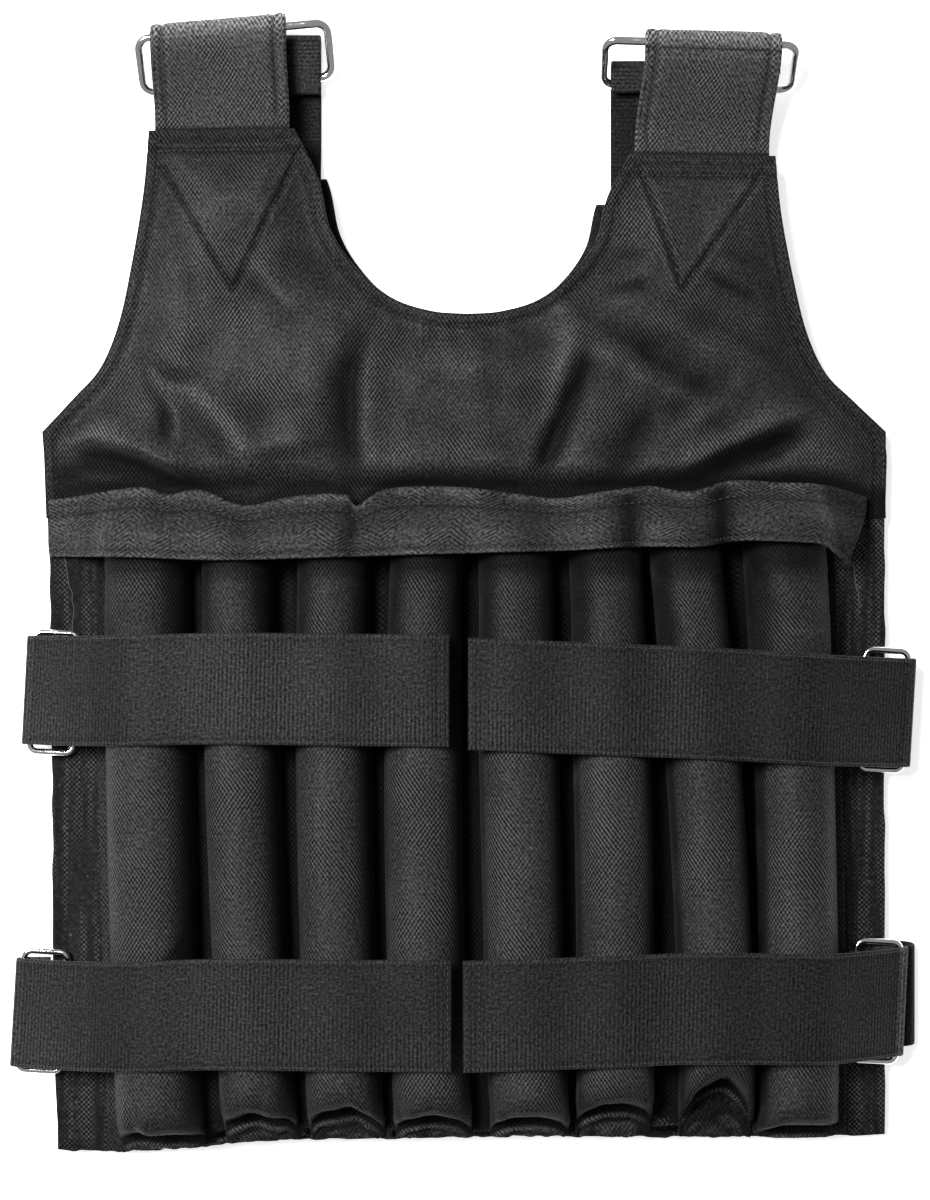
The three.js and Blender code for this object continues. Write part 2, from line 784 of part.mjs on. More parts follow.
// Places of a shoulder's ring: its bar in the strap's fold, and its bar in the webbing's loop
function shoulderPlace(shoulder) {
  const seam = seamEnds(shoulder, 0, 0);
  const steep = THREE.MathUtils.degToRad(shoulder.steep);
  const wire = shoulderWire / 2;
  const backLevel = webFloor + webThickness + seat + wire;
  const frontY = seam.inner.y + shoulder.reach;
  return {
    seam,
    steep,
    wire,
    backLevel,
    frontY,
    frontLevel: backLevel + shoulderRingDepth * Math.sin(steep),
    backY: frontY - shoulderRingDepth * Math.cos(steep),
    middle: (seam.inner.x + seam.outer.x) / 2,
    seamShare: (shoulderLap + shoulderLevel) / (shoulderLap + shoulder.reach),
    ringMiddle: (seam.inner.x + seam.outer.x) / 2 - shoulder.sign * (shoulder.shift - shoulder.lean),
  };
}

// Padded shoulder strap: sewn under the chest cloth, folded over the ring's front bar
function frontShoulderStrap(shoulder) {
  const place = shoulderPlace(shoulder);
  const half = shoulderStrapThickness / 2;
  const wrap = place.wire + seat + half;
  const turn = Math.tan(THREE.MathUtils.degToRad(shoulder.turn));
  const start = place.seam.inner.y - shoulderLap + seat;
  const grid = [];
  for (let i = 0; i <= shoulderCols; i += 1) {
    const across = (i / shoulderCols - 0.5) * shoulderStrapWidth;
    const row = [];
    for (let j = 0; j <= shoulderRows; j += 1) {
      const share = j / shoulderRows;
      const ease = THREE.MathUtils.smoothstep(share, place.seamShare, 1);
      const x = place.middle + across + shoulder.sign * shoulder.lean * ease;
      const end = place.frontY + turn * across;
      const y = THREE.MathUtils.lerp(start, end, share);
      const low = frontTop(x, Math.min(y, seamHeight)) - half;
      row.push(new THREE.Vector3(x, y, THREE.MathUtils.lerp(low, place.frontLevel + wrap, ease)));
    }
    const x = place.middle + across + shoulder.sign * shoulder.lean;
    const y = place.frontY + turn * across;
    for (let step = 1; step <= foldSteps; step += 1) {
      const angle = Math.PI * (0.5 - step / foldSteps);
      const z = place.frontLevel + wrap * Math.sin(angle);
      row.push(new THREE.Vector3(x, y + wrap * Math.cos(angle), z));
    }
    row.push(new THREE.Vector3(x, y - shoulderReturn, place.frontLevel - wrap));
    grid.push(row);
  }
  return sheet(grid, shoulderStrapThickness);
}

function shoulderRing(shoulder) {
  const place = shoulderPlace(shoulder);
  const loop = wireLoop(shoulderRingLength, shoulderRingDepth, shoulderRingCorner, shoulderWire, 3, 8);
  loop.translate(0, -shoulderRingDepth / 2, 0);
  loop.rotateX(place.steep);
  loop.rotateZ(THREE.MathUtils.degToRad(shoulder.turn));
  return loop.translate(place.ringMiddle, place.frontY, place.frontLevel);
}

// Webbing of the back: sewn on the back panel, with a loop round the ring's back bar
function backShoulderStrap(shoulder) {
  const place = shoulderPlace(shoulder);
  const half = webThickness / 2;
  const seamEnd = place.seam.inner.y - backDrop;
  const wrap = place.wire + seat + half;
  const foldY = place.backY + shoulder.slack;
  const low = webFloor + half;
  const sewn = panelThickness + seat + half;
  const profile = [
    { y: seamEnd - webSewn, z: sewn },
    { y: seamEnd - webSewn / 2, z: sewn },
    { y: seamEnd + seat, z: sewn },
    { y: seamEnd + webSettle / 2, z: (sewn + low) / 2 },
    { y: seamEnd + webSettle, z: low },
    { y: foldY - webRise, z: low },
  ];
  for (let step = 0; step <= foldSteps; step += 1) {
    const angle = -Math.PI / 2 + Math.PI * step / foldSteps;
    profile.push({ y: foldY + wrap * Math.cos(angle), z: place.backLevel + wrap * Math.sin(angle) });
  }
  profile.push({ y: place.backY - shoulder.tail, z: place.backLevel + wrap });
  const inner = Math.abs(place.ringMiddle) - shoulderRingLength / 2 + place.wire + webClear;
  const grid = [inner, inner + webWidth].map((x) => profile.map((point) => (
    new THREE.Vector3(shoulder.sign * x, point.y, point.z)
  )));
  return sheet(grid, webThickness);
}

// The vest
const vest = new THREE.Group();

function add(name, geometry, material) {
  const mesh = new THREE.Mesh(geometry, material);
  mesh.name = name;
  vest.add(mesh);
}

add('back_panel', backPanel(), fabric(cloth.base, 0.95));
add('front_panel', frontPanel(), fabric(cloth.base, 0.95));
add('chest_cloth', chestCloth(), fabric(cloth.oxford, 0.85));
add('pocket_sheet', pocketSheet(), fabric(cloth.oxford, 0.85));
for (let index = 0; index < pocketCount; index += 1) {
  add(`weight_bag_${index + 1}`, weightBag(index), fabric(cloth.bag, 0.9));
}
add('pocket_flap', pocketFlap(), fabric(cloth.band, 0.9));
for (const strap of straps) {
  add(`waist_strap_${strap.name}`, waistStrap(strap), fabric(cloth.webbing, 0.8));
  add(`side_ring_${strap.name}`, sideRing(strap), chrome());
  add(`ring_tab_${strap.name}`, ringTab(strap), fabric(cloth.webbing, 0.8));
}
for (const shoulder of shoulders) {
  add(`front_shoulder_strap_${shoulder.name}`, frontShoulderStrap(shoulder), fabric(cloth.oxford, 0.85));
  add(`shoulder_ring_${shoulder.name}`, shoulderRing(shoulder), chrome());
  add(`back_shoulder_strap_${shoulder.name}`, backShoulderStrap(shoulder), fabric(cloth.webbing, 0.8));
}

// The origin is the middle of the base
const box = new THREE.Box3().setFromObject(vest);
const middle = box.getCenter(new THREE.Vector3());
vest.position.set(-middle.x, -middle.y, -box.min.z);

export default vest;
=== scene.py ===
"""Weighted vest, laid on its back on a pale table and seen from straight above."""

import math

import bpy
import numpy as np
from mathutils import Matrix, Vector
from mathutils.geometry import delaunay_2d_cdt


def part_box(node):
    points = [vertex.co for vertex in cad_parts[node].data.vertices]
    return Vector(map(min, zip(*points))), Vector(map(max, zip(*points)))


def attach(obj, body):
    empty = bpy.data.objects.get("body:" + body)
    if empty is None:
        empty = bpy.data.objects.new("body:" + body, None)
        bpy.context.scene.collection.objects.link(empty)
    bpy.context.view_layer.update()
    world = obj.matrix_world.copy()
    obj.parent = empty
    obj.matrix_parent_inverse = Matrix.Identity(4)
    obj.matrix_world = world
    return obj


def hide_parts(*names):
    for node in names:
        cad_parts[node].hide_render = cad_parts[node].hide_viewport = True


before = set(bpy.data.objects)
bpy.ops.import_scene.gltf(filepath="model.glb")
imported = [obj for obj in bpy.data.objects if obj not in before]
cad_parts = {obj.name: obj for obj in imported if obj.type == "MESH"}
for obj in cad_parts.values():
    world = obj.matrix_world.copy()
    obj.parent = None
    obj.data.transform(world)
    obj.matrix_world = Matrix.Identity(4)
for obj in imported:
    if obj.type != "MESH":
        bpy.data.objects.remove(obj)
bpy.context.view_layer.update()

# Everything below is in millimetres, with x from the vest's middle line, y from its hem and z from
# the table, and goes to metres in the model's frame when a mesh is made
MM = 0.001
back_low, back_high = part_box("back_panel")
MIDDLE_X = (back_low[0] + back_high[0]) / 2
HEM_Y = back_low[1]

# Gap between pieces that lie on each other
SEAT = 0.3

# Panels
PANEL_WIDTH = 426
PANEL_THICKNESS = 4
SIDE_HEIGHT = 366
ARMHOLE_HEIGHT = 152
NECK_DROP = 94
SHOULDER_INNER = 87
SHOULDER_WIDTH = 74
BACK_DROP = 22
BACK_NECK_MARGIN = 5
HALF_PANEL = PANEL_WIDTH / 2
SEAM_HEIGHT = SIDE_HEIGHT + ARMHOLE_HEIGHT
NECK_HEIGHT = SEAM_HEIGHT - NECK_DROP

# Arch of the front over the space for the torso
ARCH_RISE = 24
ARCH_POWER = 2.2
ARCH_CREST = 190
ARCH_HEM_FALL = 0.14
ARCH_SHOULDER_FALL = 0.38

# Chest
CHEST_THICKNESS = 2
CHEST_BOTTOM = 322
CHEST_PUFF = 8
FOLD_GAIN = 1.75
HEM_WIDTH = 8
STITCH_IN = 6
STITCH_EDGE = 1.8
SEAM_ROWS = (3.0, 10.5)

# Sleeves
POCKET_PITCH = 45.7
POCKET_WIDTH = 38.8
POCKET_HEIGHT = 29
POCKET_CLOTH = 1.5
POCKET_TOP = 312
POCKET_FOOT = 4
POCKET_FLANGE = 8
ROUND_ACROSS = 0.94
ROUND_UP = 0.66
FLANGE_PLACES = [POCKET_FLANGE, POCKET_FLANGE - 0.3, POCKET_FLANGE - 0.8, 5.5, 3, 1]
BAG_CLEARANCE = 0.6
BAG_FOOT = 46
BAG_MOUTH = 9

# Band over the sleeves' mouths, with the places of its stitches as shares of its drop
FLAP_THICKNESS = 1.5
FLAP_SAG = 0.09
FLAP_RUN = 413
FLAP_DROP = 33
FLAP_SEAM = 0.3
FLAP_SELVEDGE = 0.93

# Straps, tabs and rings of the sides
STRAP_WIDTH = 55
STRAP_THICKNESS = 2
STRAP_RETURN = 13.2
STRAP_LIFT = 0.9
STRAP_SAG = 1.4
STRAP_END_ROWS = (3.0, 7.5)
SELVEDGE_IN = 2.2
SIDE_WIRE = 3.4
SIDE_RING_WIDTH = 22
SIDE_RING_CORNER = 4
RING_SLACK = 1
TAB_WIDTH = 40
TAB_THICKNESS = 1.6
TAB_SEWN = 17
TAB_LOOP_GAP = 5
FRONT_LIFT = PANEL_THICKNESS + TAB_THICKNESS + 2 * SEAT

# Shoulders
SHOULDER_STRAP_WIDTH = 68.5
SHOULDER_STRAP_THICKNESS = 3.5
SHOULDER_STITCH_IN = 6
SHOULDER_LAP = 20
SHOULDER_RETURN = 14
SHOULDER_WIRE = 4.6
SHOULDER_RING_LENGTH = 97
SHOULDER_RING_DEPTH = 28
SHOULDER_RING_CORNER = 6
SHOULDER_LEVEL = 4
WEB_WIDTH = 50
WEB_THICKNESS = 2
WEB_SEWN = 30
WEB_FLOOR = 1
WEB_CLEAR = 1.7
WEB_SETTLE = 16
WEB_RISE = 8

# Camera of the photograph: its place, its film's width, and half the width of its view as a share of its
# distance
CAMERA = (-1, 280.5, 1400)
FILM = 36
HALF_VIEW = 300 / 1365

# Each sleeve: how far its middle stands to the right of an even row at its mouth, waist and foot, in
# shares of the pitch; its width as a share, and what is added at its mouth; height of the arch at its
# foot in the middle and at the sides, and how far down the painted shadow under that arch reaches
POCKETS = [
    {
        "mouth": 0.017, "waist": 0.067, "foot": 0.14, "wide": 1.09,
        "open": -0.03, "arch": 14, "side": 12, "void_shadow": 0.5,
    },
    {
        "mouth": 0.02, "waist": 0.1, "foot": 0.22, "wide": 0.93,
        "open": -0.05, "arch": 25, "side": 16, "void_shadow": 1.5,
    },
    {
        "mouth": 0.05, "waist": 0.075, "foot": 0.165, "wide": 0.94,
        "open": -0.05, "arch": 28.5, "side": 17, "void_shadow": 3,
    },
    {
        "mouth": 0.045, "waist": 0.03, "foot": 0.11, "wide": 0.96,
        "open": -0.07, "arch": 25, "side": 17, "void_shadow": 1.5,
    },
    {
        "mouth": 0.035, "waist": 0.09, "foot": 0.165, "wide": 0.99,
        "open": -0.07, "arch": 25.5, "side": 17, "void_shadow": 1.5,
    },
    {
        "mouth": 0.02, "waist": 0.095, "foot": 0.11, "wide": 0.96,
        "open": -0.07, "arch": 30, "side": 21, "void_shadow": 2.5,
    },
    {
        "mouth": -0.085, "waist": 0.13, "foot": 0.22, "wide": 0.93,
        "open": -0.05, "arch": 42, "side": 17, "void_shadow": 10,
    },
    {
        "mouth": -0.01, "waist": 0.09, "foot": 0.12, "wide": 0.97,
        "open": 0.06, "arch": 19, "side": 15, "void_shadow": 0.5,
    },
]

# Rise of the sleeves towards their mouths, and of their feet by the height above the arch's line
POCKET_RISE = [(0, 1), (0.84, 1), (0.92, 0.94), (1, 0.8)]
FOOT_RISE = [
    (-12, 0.05), (-9.4, 0.07), (-8, 0.17), (-6.6, 0.08), (-2, 0.1), (-0.4, 0.34), (0.8, 0.62), (2.2, 0.82),
    (5, 0.94), (10, 1),
]

# Painted shade of a dent at the lower right of the first sleeve: heights, and places across of the edge
# where the shade begins
SLEEVE_DENT_SHADE = [(98, -158), (104, -152), (114, -144), (138, -138), (166, -133)]

# Painted highlights along hems that show at the mouths: sleeve, height, bow, and ends across the sleeve in
# shares
MOUTH_HIGHLIGHTS = [
    {"sleeve": 0, "height": 299.5, "bow": 2.5, "left": -0.7, "right": 0.75},
    {"sleeve": 0, "height": 295.5, "bow": 3, "left": -0.5, "right": 0.7},
    {"sleeve": 7, "height": 297, "bow": 1.5, "left": -0.75, "right": 0.7},
    {"sleeve": 7, "height": 293.5, "bow": 1.2, "left": -0.6, "right": 0.5},
    {"sleeve": 7, "height": 264.5, "bow": -0.5, "left": -0.35, "right": 0.6},
    {"sleeve": 5, "height": 299, "bow": 1, "left": -0.6, "right": 0.5},
    {"sleeve": 6, "height": 299.5, "bow": 1.4, "left": -0.3, "right": 0.6},
]

# Hem of the panels, ragged and drawn up in the middle
HEM = [
    (-213, 0.3), (-178, 0.8), (-143, 3.6), (-100, 8.5), (-57, 9.8), (28, 11.3), (78, 10.7), (128, 9.6),
    (168, 8.5), (213, 8.1),
]
HEM_RAGGED = 0.7

# Left side of the panels, which leans inwards towards the hem
LEFT_SIDE = [(0, -208.5), (40, -209.8), (100, -211), (200, -211.4), (302, -213), (366, -216)]
SIDE_RAGGED = 0.45

# Loose threads on the lining beside the sleeves
MARGIN_THREADS = [
    [(-204.3, 302), (-202.5, 291), (-200.3, 280), (-200, 264)],
    [(187, 36), (188.5, 28), (186.5, 16)],
    [(196, 300), (199, 281), (201, 276)],
    [(205, 326), (210, 318), (212, 312)],
]

# Waist straps: the side; heights of the sewn end and of the fold, and their places across; lean of the
# fold in degrees; how far the ring's tab stands out at the side, and its width; how strong the painted
# highlight on the fold is; how far the fold hangs down, and how far the ring has slid off its middle
STRAPS = {
    "upper_left": {
        "sign": -1, "sewn": 236, "side": 238, "start": 8.5, "fold": 224, "turn": 3.0,
        "tab": 4.2, "tab_width": TAB_WIDTH, "wear_and_painted_light": 0.6, "droop": 3, "slid": -1.3,
    },
    "upper_right": {
        "sign": 1, "sewn": 234.6, "side": 225.5, "start": 0.4, "fold": 226, "turn": 3.4,
        "tab": 4.2, "tab_width": TAB_WIDTH, "wear_and_painted_light": 0.6, "droop": 2, "slid": 1.4,
    },
    "lower_left": {
        "sign": -1, "sewn": 76.9, "side": 76.9, "start": 7.5, "fold": 230, "turn": 3.4,
        "tab": 5.0, "tab_width": TAB_WIDTH, "wear_and_painted_light": 0.6, "droop": 5, "slid": 0.5,
    },
    "lower_right": {
        "sign": 1, "sewn": 76.5, "side": 83.1, "start": -2.1, "fold": 222, "turn": 2.6,
        "tab": 14.5, "tab_width": 51, "wear_and_painted_light": 5.0, "droop": 5.5, "slid": 0,
    },
}

# Shoulders: the side; how far the seam lies below the higher one and further in; how far the fold lies
# past the seam and outwards, and the ring inwards of the fold; turn of the fold and steepness of the
# ring in degrees; slack and tail of the webbing behind; how strong the painted highlight on the fold is,
# and how dark the line under it is
SHOULDERS = {
    "left": {
        "sign": -1, "drop": 0, "inward": 0, "reach": 51, "lean": 2, "shift": 7, "turn": 5,
        "steep": 24, "slack": 21, "tail": 5.5, "highlight_gain": 5, "line": 0,
    },
    "right": {
        "sign": 1, "drop": 13, "inward": 5, "reach": 56, "lean": 5, "shift": 6, "turn": -1.6,
        "steep": 48, "slack": 9, "tail": 3.5, "highlight_gain": 3.2, "line": 0.85,
    },
}

# Armhole from the shoulder's seam to the side, and neckline from the seam to the middle: shares of the
# way across and down
ARMHOLE = [(0, 0), (0.05, 0.21), (0.16, 0.45), (0.28, 0.645), (0.45, 0.79), (0.69, 0.885), (1, 1)]
NECKLINE = [(0, 0), (0.14, 0.27), (0.21, 0.54), (0.355, 0.745), (0.56, 0.91), (0.79, 0.983), (1, 1)]

# Folds of the chest: the line that each one follows, its rise, and its width to the left and to the
# right of that line as it is followed
CHEST_FOLDS = [
    {"line": [(-109, 456), (-95, 436), (-79, 421)], "rise": 2.9, "left": 9, "right": 6},
    {"line": [(-140, 388), (-123, 371), (-111, 352), (-108, 340)], "rise": 2.6, "left": 9, "right": 7},
    {"line": [(-165, 404), (-145, 393.5), (-133, 394)], "rise": -1.3, "left": 4, "right": 2.5},
    {"line": [(-163, 398), (-147, 387), (-132, 386)], "rise": 1.3, "left": 3, "right": 6},
    {"line": [(-165, 404), (-161, 390), (-152, 375), (-151, 358)], "rise": -1.5, "left": 3.5, "right": 3},
    {"line": [(-158, 400), (-153, 386), (-145, 372), (-144, 360)], "rise": 1.2, "left": 3, "right": 6},
    {"line": [(-209, 356), (-190, 363), (-174, 358), (-151, 349), (-132, 335)],
     "rise": 5.0, "left": 11, "right": 2.2},
    {"line": [(-206, 347), (-188, 351), (-170, 346), (-152, 337)], "rise": -4.8, "left": 7, "right": 9},
    {"line": [(-46, 421), (-53, 408), (-58, 391), (-58, 361), (-55, 330)],
     "rise": -3.8, "left": 4.2, "right": 11},
    {"line": [(-46, 416), (-50, 392), (-51, 362)], "rise": 1.8, "left": 8, "right": 2.5},
    {"line": [(-89, 380), (-85, 352)], "rise": 2.4, "left": 16, "right": 14},
    {"line": [(46, 430), (50, 409), (44, 374)], "rise": 3.8, "left": 7, "right": 11},
    {"line": [(56, 396), (47, 371), (34, 338)], "rise": -3.3, "left": 7, "right": 4.5},
    {"line": [(50, 430), (79, 413), (106, 394), (141, 384)], "rise": -1.9, "left": 9, "right": 8},
    {"line": [(60, 410), (90, 392), (118, 376)], "rise": 1.8, "left": 7, "right": 7},
    {"line": [(87, 426), (112, 412), (137, 398)], "rise": 1.4, "left": 9, "right": 7},
    {"line": [(95, 381), (83, 360), (73, 335)], "rise": -3.6, "left": 8, "right": 10},
    {"line": [(176, 379), (152, 367), (131, 358), (104, 344)], "rise": 4.0, "left": 2.6, "right": 11},
    {"line": [(172, 366), (142, 351), (112, 339)], "rise": -4.0, "left": 7, "right": 6},
    {"line": [(138, 386), (118, 372), (100, 362)], "rise": 1.8, "left": 6, "right": 7},
    {"line": [(-125, 352), (-95, 356), (-70, 353)], "rise": 1.6, "left": 14, "right": 7},
    {"line": [(-40, 355), (0, 352), (28, 355)], "rise": 1.5, "left": 14, "right": 7},
    {"line": [(-60, 455), (-48, 436), (-30, 425)], "rise": -1.4, "left": 5, "right": 5},
    {"line": [(-150, 470), (-140, 440), (-141, 420)], "rise": -1.2, "left": 6, "right": 6},
    {"line": [(-20, 400), (0, 388), (24, 392)], "rise": -1.2, "left": 10, "right": 10},
    {"line": [(66, 457), (91, 454)], "rise": -1.3, "left": 3, "right": 3},
    {"line": [(68, 436), (93, 439)], "rise": -1.4, "left": 3, "right": 3},
    {"line": [(129, 456), (148, 448)], "rise": -1.2, "left": 3, "right": 3},
    {"line": [(121, 444), (148, 430)], "rise": -1.5, "left": 3, "right": 3},
    {"line": [(128, 420), (172, 392)], "rise": -1.2, "left": 6, "right": 6},
]

# Pointed seams under the shoulders
VEES = [
    [(-154, 499), (-117, 436), (-84, 507)],
    [(87, 499), (108, 436), (149, 496)],
]

# Places of the chest with painted shadow, and places with painted highlights
CHEST_PAINTED_SHADOWS = [
    {"line": [(-205, 344), (-186, 348), (-163, 344), (-142, 336)], "wide": 8.5, "deep": 0.92},
    {"line": [(-54, 412), (-63, 385), (-59, 355), (-57, 335)], "wide": 8, "deep": 0.55},
    {"line": [(58, 398), (50, 370), (38, 338)], "wide": 3.4, "deep": 0.5},
    {"line": [(167, 364), (140, 352), (108, 341)], "wide": 5, "deep": 0.62},
    {"line": [(105, 375), (92, 360), (76, 343)], "wide": 7, "deep": 0.45},
    {"line": [(-62, 470), (-52, 440), (-44, 425)], "wide": 7, "deep": 0.3},
    {"line": [(-52, 450), (-40, 428)], "wide": 4, "deep": 0.3},
    {"line": [(60, 412), (92, 396), (125, 384)], "wide": 4, "deep": 0.22},
    {"line": [(-165, 404), (-161, 390), (-152, 375), (-151, 358)], "wide": 2.6, "deep": 0.25},
    {"line": [(163, 342), (182, 338), (200, 334)], "wide": 3, "deep": 0.6},
    {"line": [(128, 432), (140, 452)], "wide": 9, "deep": 0.25},
]
CHEST_PAINTED_HIGHLIGHTS = [
    {"line": [(-100, 455), (-84, 436), (-72, 425)], "wide": 5, "highlight_gain": 0.3},
    {"line": [(-136, 384), (-120, 368), (-109, 348)], "wide": 6, "highlight_gain": 0.55},
    {"line": [(-208, 358), (-190, 365), (-172, 360)], "wide": 2.5, "highlight_gain": 0.4},
    {"line": [(45, 424), (51, 410)], "wide": 8, "highlight_gain": 0.55},
    {"line": [(47, 400), (43, 378)], "wide": 5, "highlight_gain": 0.4},
    {"line": [(54, 420), (80, 404), (105, 390)], "wide": 3, "highlight_gain": 0.25},
    {"line": [(-22, 400), (0, 398)], "wide": 7, "highlight_gain": 0.25},
    {"line": [(175, 372), (150, 362)], "wide": 5, "highlight_gain": 0.2},
    {"line": [(-140, 460), (-125, 425)], "wide": 12, "highlight_gain": 0.1},
]

# Top and lower edges of the band, from its left end to its right one
FLAP_TOP = [
    (-212, 331), (-185, 334.5), (-163, 337), (-150, 333.5), (-133, 335.5), (-111, 327.5), (-88, 332),
    (-61, 333), (-55, 327), (-41, 335.5), (-18, 337), (2, 336), (26, 333), (46, 331), (66, 334),
    (86, 337), (94, 337), (112, 334.5), (131, 340), (156, 339.5), (181, 338), (203, 332),
]
FLAP_FOOT = [
    (-212, 302.5), (-165, 301.5), (-121, 300), (-62, 301.5), (6, 303.5), (46, 304.5), (85, 306.5),
    (114, 306.5), (134, 309.5), (163, 309), (176, 308), (184, 303), (191.5, 297), (203, 297),
]
FLAP_END_TOP = 202
FLAP_END_FOOT = 191.5

# Dips of the band: place across, width and depth
FLAP_DIPS = [(-57, 5, 3.6), (80, 8, 5.6), (126, 8, 6.0), (-111, 9, 2.6), (34, 10, 2.4), (-189, 5, 2.6)]


# Numbers

def smooth(value, low, high):
    share = np.clip((value - low) / (high - low), 0, 1)
    return share * share * (3 - 2 * share)


def lerp(a, b, share):
    return a + (b - a) * share


def peak(value, at, width):
    """1 at a place, falling off to both sides."""
    return np.exp(-(((value - at) / width) ** 2))


def nearest(values, at):
    """Number of the value that is nearest to a place."""
    return int(np.argmin(np.abs(values - at)))


def noise(x, y, size, seed):
    """Smooth noise of about -1 to 1 over a plane, in lumps of the given size."""
    table = np.random.default_rng(seed).uniform(-1, 1, (64, 64))
    u, v = np.asarray(x) / size, np.asarray(y) / size
    i, j = np.floor(u).astype(int), np.floor(v).astype(int)
    a, b = u - i, v - j
    a, b = a**3 * (a * (6 * a - 15) + 10), b**3 * (b * (6 * b - 15) + 10)
    low = lerp(table[i % 64, j % 64], table[(i + 1) % 64, j % 64], a)
    high = lerp(table[i % 64, (j + 1) % 64], table[(i + 1) % 64, (j + 1) % 64], a)
    return lerp(low, high, b)


def curve(knots, steps):
    """Smooth line through knots, with the given number of steps between each two."""
    knots = np.array(knots, float)
    if len(knots) < 3:
        share = np.linspace(0, 1, steps + 1)[:, None]
        return lerp(knots[0], knots[-1], share)
    ends = [2 * knots[0] - knots[1], *knots, 2 * knots[-1] - knots[-2]]
    out = []
    for a, b, c, d in zip(ends, ends[1:], ends[2:], ends[3:]):
        for t in np.arange(steps) / steps:
            out.append(0.5 * (2 * b + (c - a) * t + (2 * a - 5 * b + 4 * c - d) * t**2
                              + (3 * b - a - 3 * c + d) * t**3))
    return np.array([*out, knots[-1]])


def to_line(x, y, line, closed=False):
    """Distance from each point to a broken line, its side of it, and its share of the way along it."""
    line = np.asarray(line, float)
    if closed:
        line = np.vstack([line, line[:1]])
    x, y = np.asarray(x, float), np.asarray(y, float)
    best = np.full(x.shape, 1e9)
    side, share = np.zeros(x.shape), np.zeros(x.shape)
    runs = np.diff(line, axis=0)
    lengths = np.hypot(*runs.T)
    begun = np.concatenate([[0], np.cumsum(lengths)])
    for start, run, length, before in zip(line, runs, lengths, begun):
        if length < 1e-9:
            continue
        along = np.clip(((x - start[0]) * run[0] + (y - start[1]) * run[1]) / length**2, 0, 1)
        dx, dy = x - start[0] - along * run[0], y - start[1] - along * run[1]
        away = np.hypot(dx, dy)
        near = away < best
        best = np.where(near, away, best)
        side = np.where(near, np.sign(run[0] * dy - run[1] * dx), side)
        share = np.where(near, (before + along * length) / begun[-1], share)
    return best, side, share


# Meshes

def place(points):
    points = np.asarray(points, float)
    return points * MM + np.array([MIDDLE_X, HEM_Y, 0])


def make_piece(name, points, faces, material, uvs=None, nodes=(), painted_light_and_tone=None):
    """A piece of the vest from points in millimetres, with its places on the flat cloth as its UV map.

    The painted shade and tone of each point is 1 for the deepest painted shade in a fold, 0 on open cloth
    and below 0 for a painted highlight.
    """
    mesh = bpy.data.meshes.new(name)
    mesh.from_pydata(place(points).tolist(), [], [list(map(int, face)) for face in faces])
    if uvs is not None:
        layer = mesh.uv_layers.new(name="cloth")
        index = np.empty(len(mesh.loops), int)
        mesh.loops.foreach_get("vertex_index", index)
        layer.data.foreach_set("uv", (np.asarray(uvs, float) * MM)[index].ravel())
    # Point attribute of painted shade, painted highlights and random tone that scales the cloth's colour
    if painted_light_and_tone is not None:
        attribute = mesh.attributes.new("painted_light_and_tone", "FLOAT", "POINT")
        attribute.data.foreach_set("value", np.asarray(painted_light_and_tone, np.float32))
    mesh.materials.append(material)
    mesh.shade_smooth()
    mesh.update()
    piece = bpy.data.objects.new(name, mesh)
    bpy.context.scene.collection.objects.link(piece)
    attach(piece, "root")
    if nodes:
        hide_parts(*nodes)
    return piece


def rounded(away, radius):
    """Share of its thickness that a cloth has at a distance from its round rim."""
    return np.sqrt(np.clip(1 - (1 - np.minimum(away / radius, 1)) ** 2, 0, 1))


def rim(values, radius, free=1.3):
    """Places across a cloth with extra ones near both ends, and the share of its thickness at each."""
    values = np.asarray(values, float)
    low, high = values[0], values[-1]
    turned = radius * (1 - np.cos(np.radians([0, 28, 52, 72, 90])))
    inner = values[(values > low + radius * free) & (values < high - radius * free)]
    places = np.concatenate([low + turned, inner, (high - turned)[::-1]])
    return places, rounded(np.minimum(places - low, high - places), radius)


def run_along(points):
    """Distance from the first of a row of points to each of them, along the row."""
    return np.concatenate([[0], np.cumsum(np.linalg.norm(np.diff(points, axis=0), axis=1))])


def places_at(distances, run, points):
    """Points at the given distances along a row of points."""
    return np.stack([np.interp(distances, run, points[:, axis]) for axis in range(3)], axis=-1)


def grid_normals(grid):
    """Directions in which the upper side of a grid of points faces."""
    along = np.empty_like(grid)
    along[:, 1:-1] = grid[:, 2:] - grid[:, :-2]
    along[:, 0], along[:, -1] = grid[:, 1] - grid[:, 0], grid[:, -1] - grid[:, -2]
    across = np.empty_like(grid)
    across[1:-1] = grid[2:] - grid[:-2]
    across[0], across[-1] = grid[1] - grid[0], grid[-1] - grid[-2]
    normal = np.cross(along, across)
    return normal / np.maximum(np.linalg.norm(normal, axis=2, keepdims=True), 1e-9)


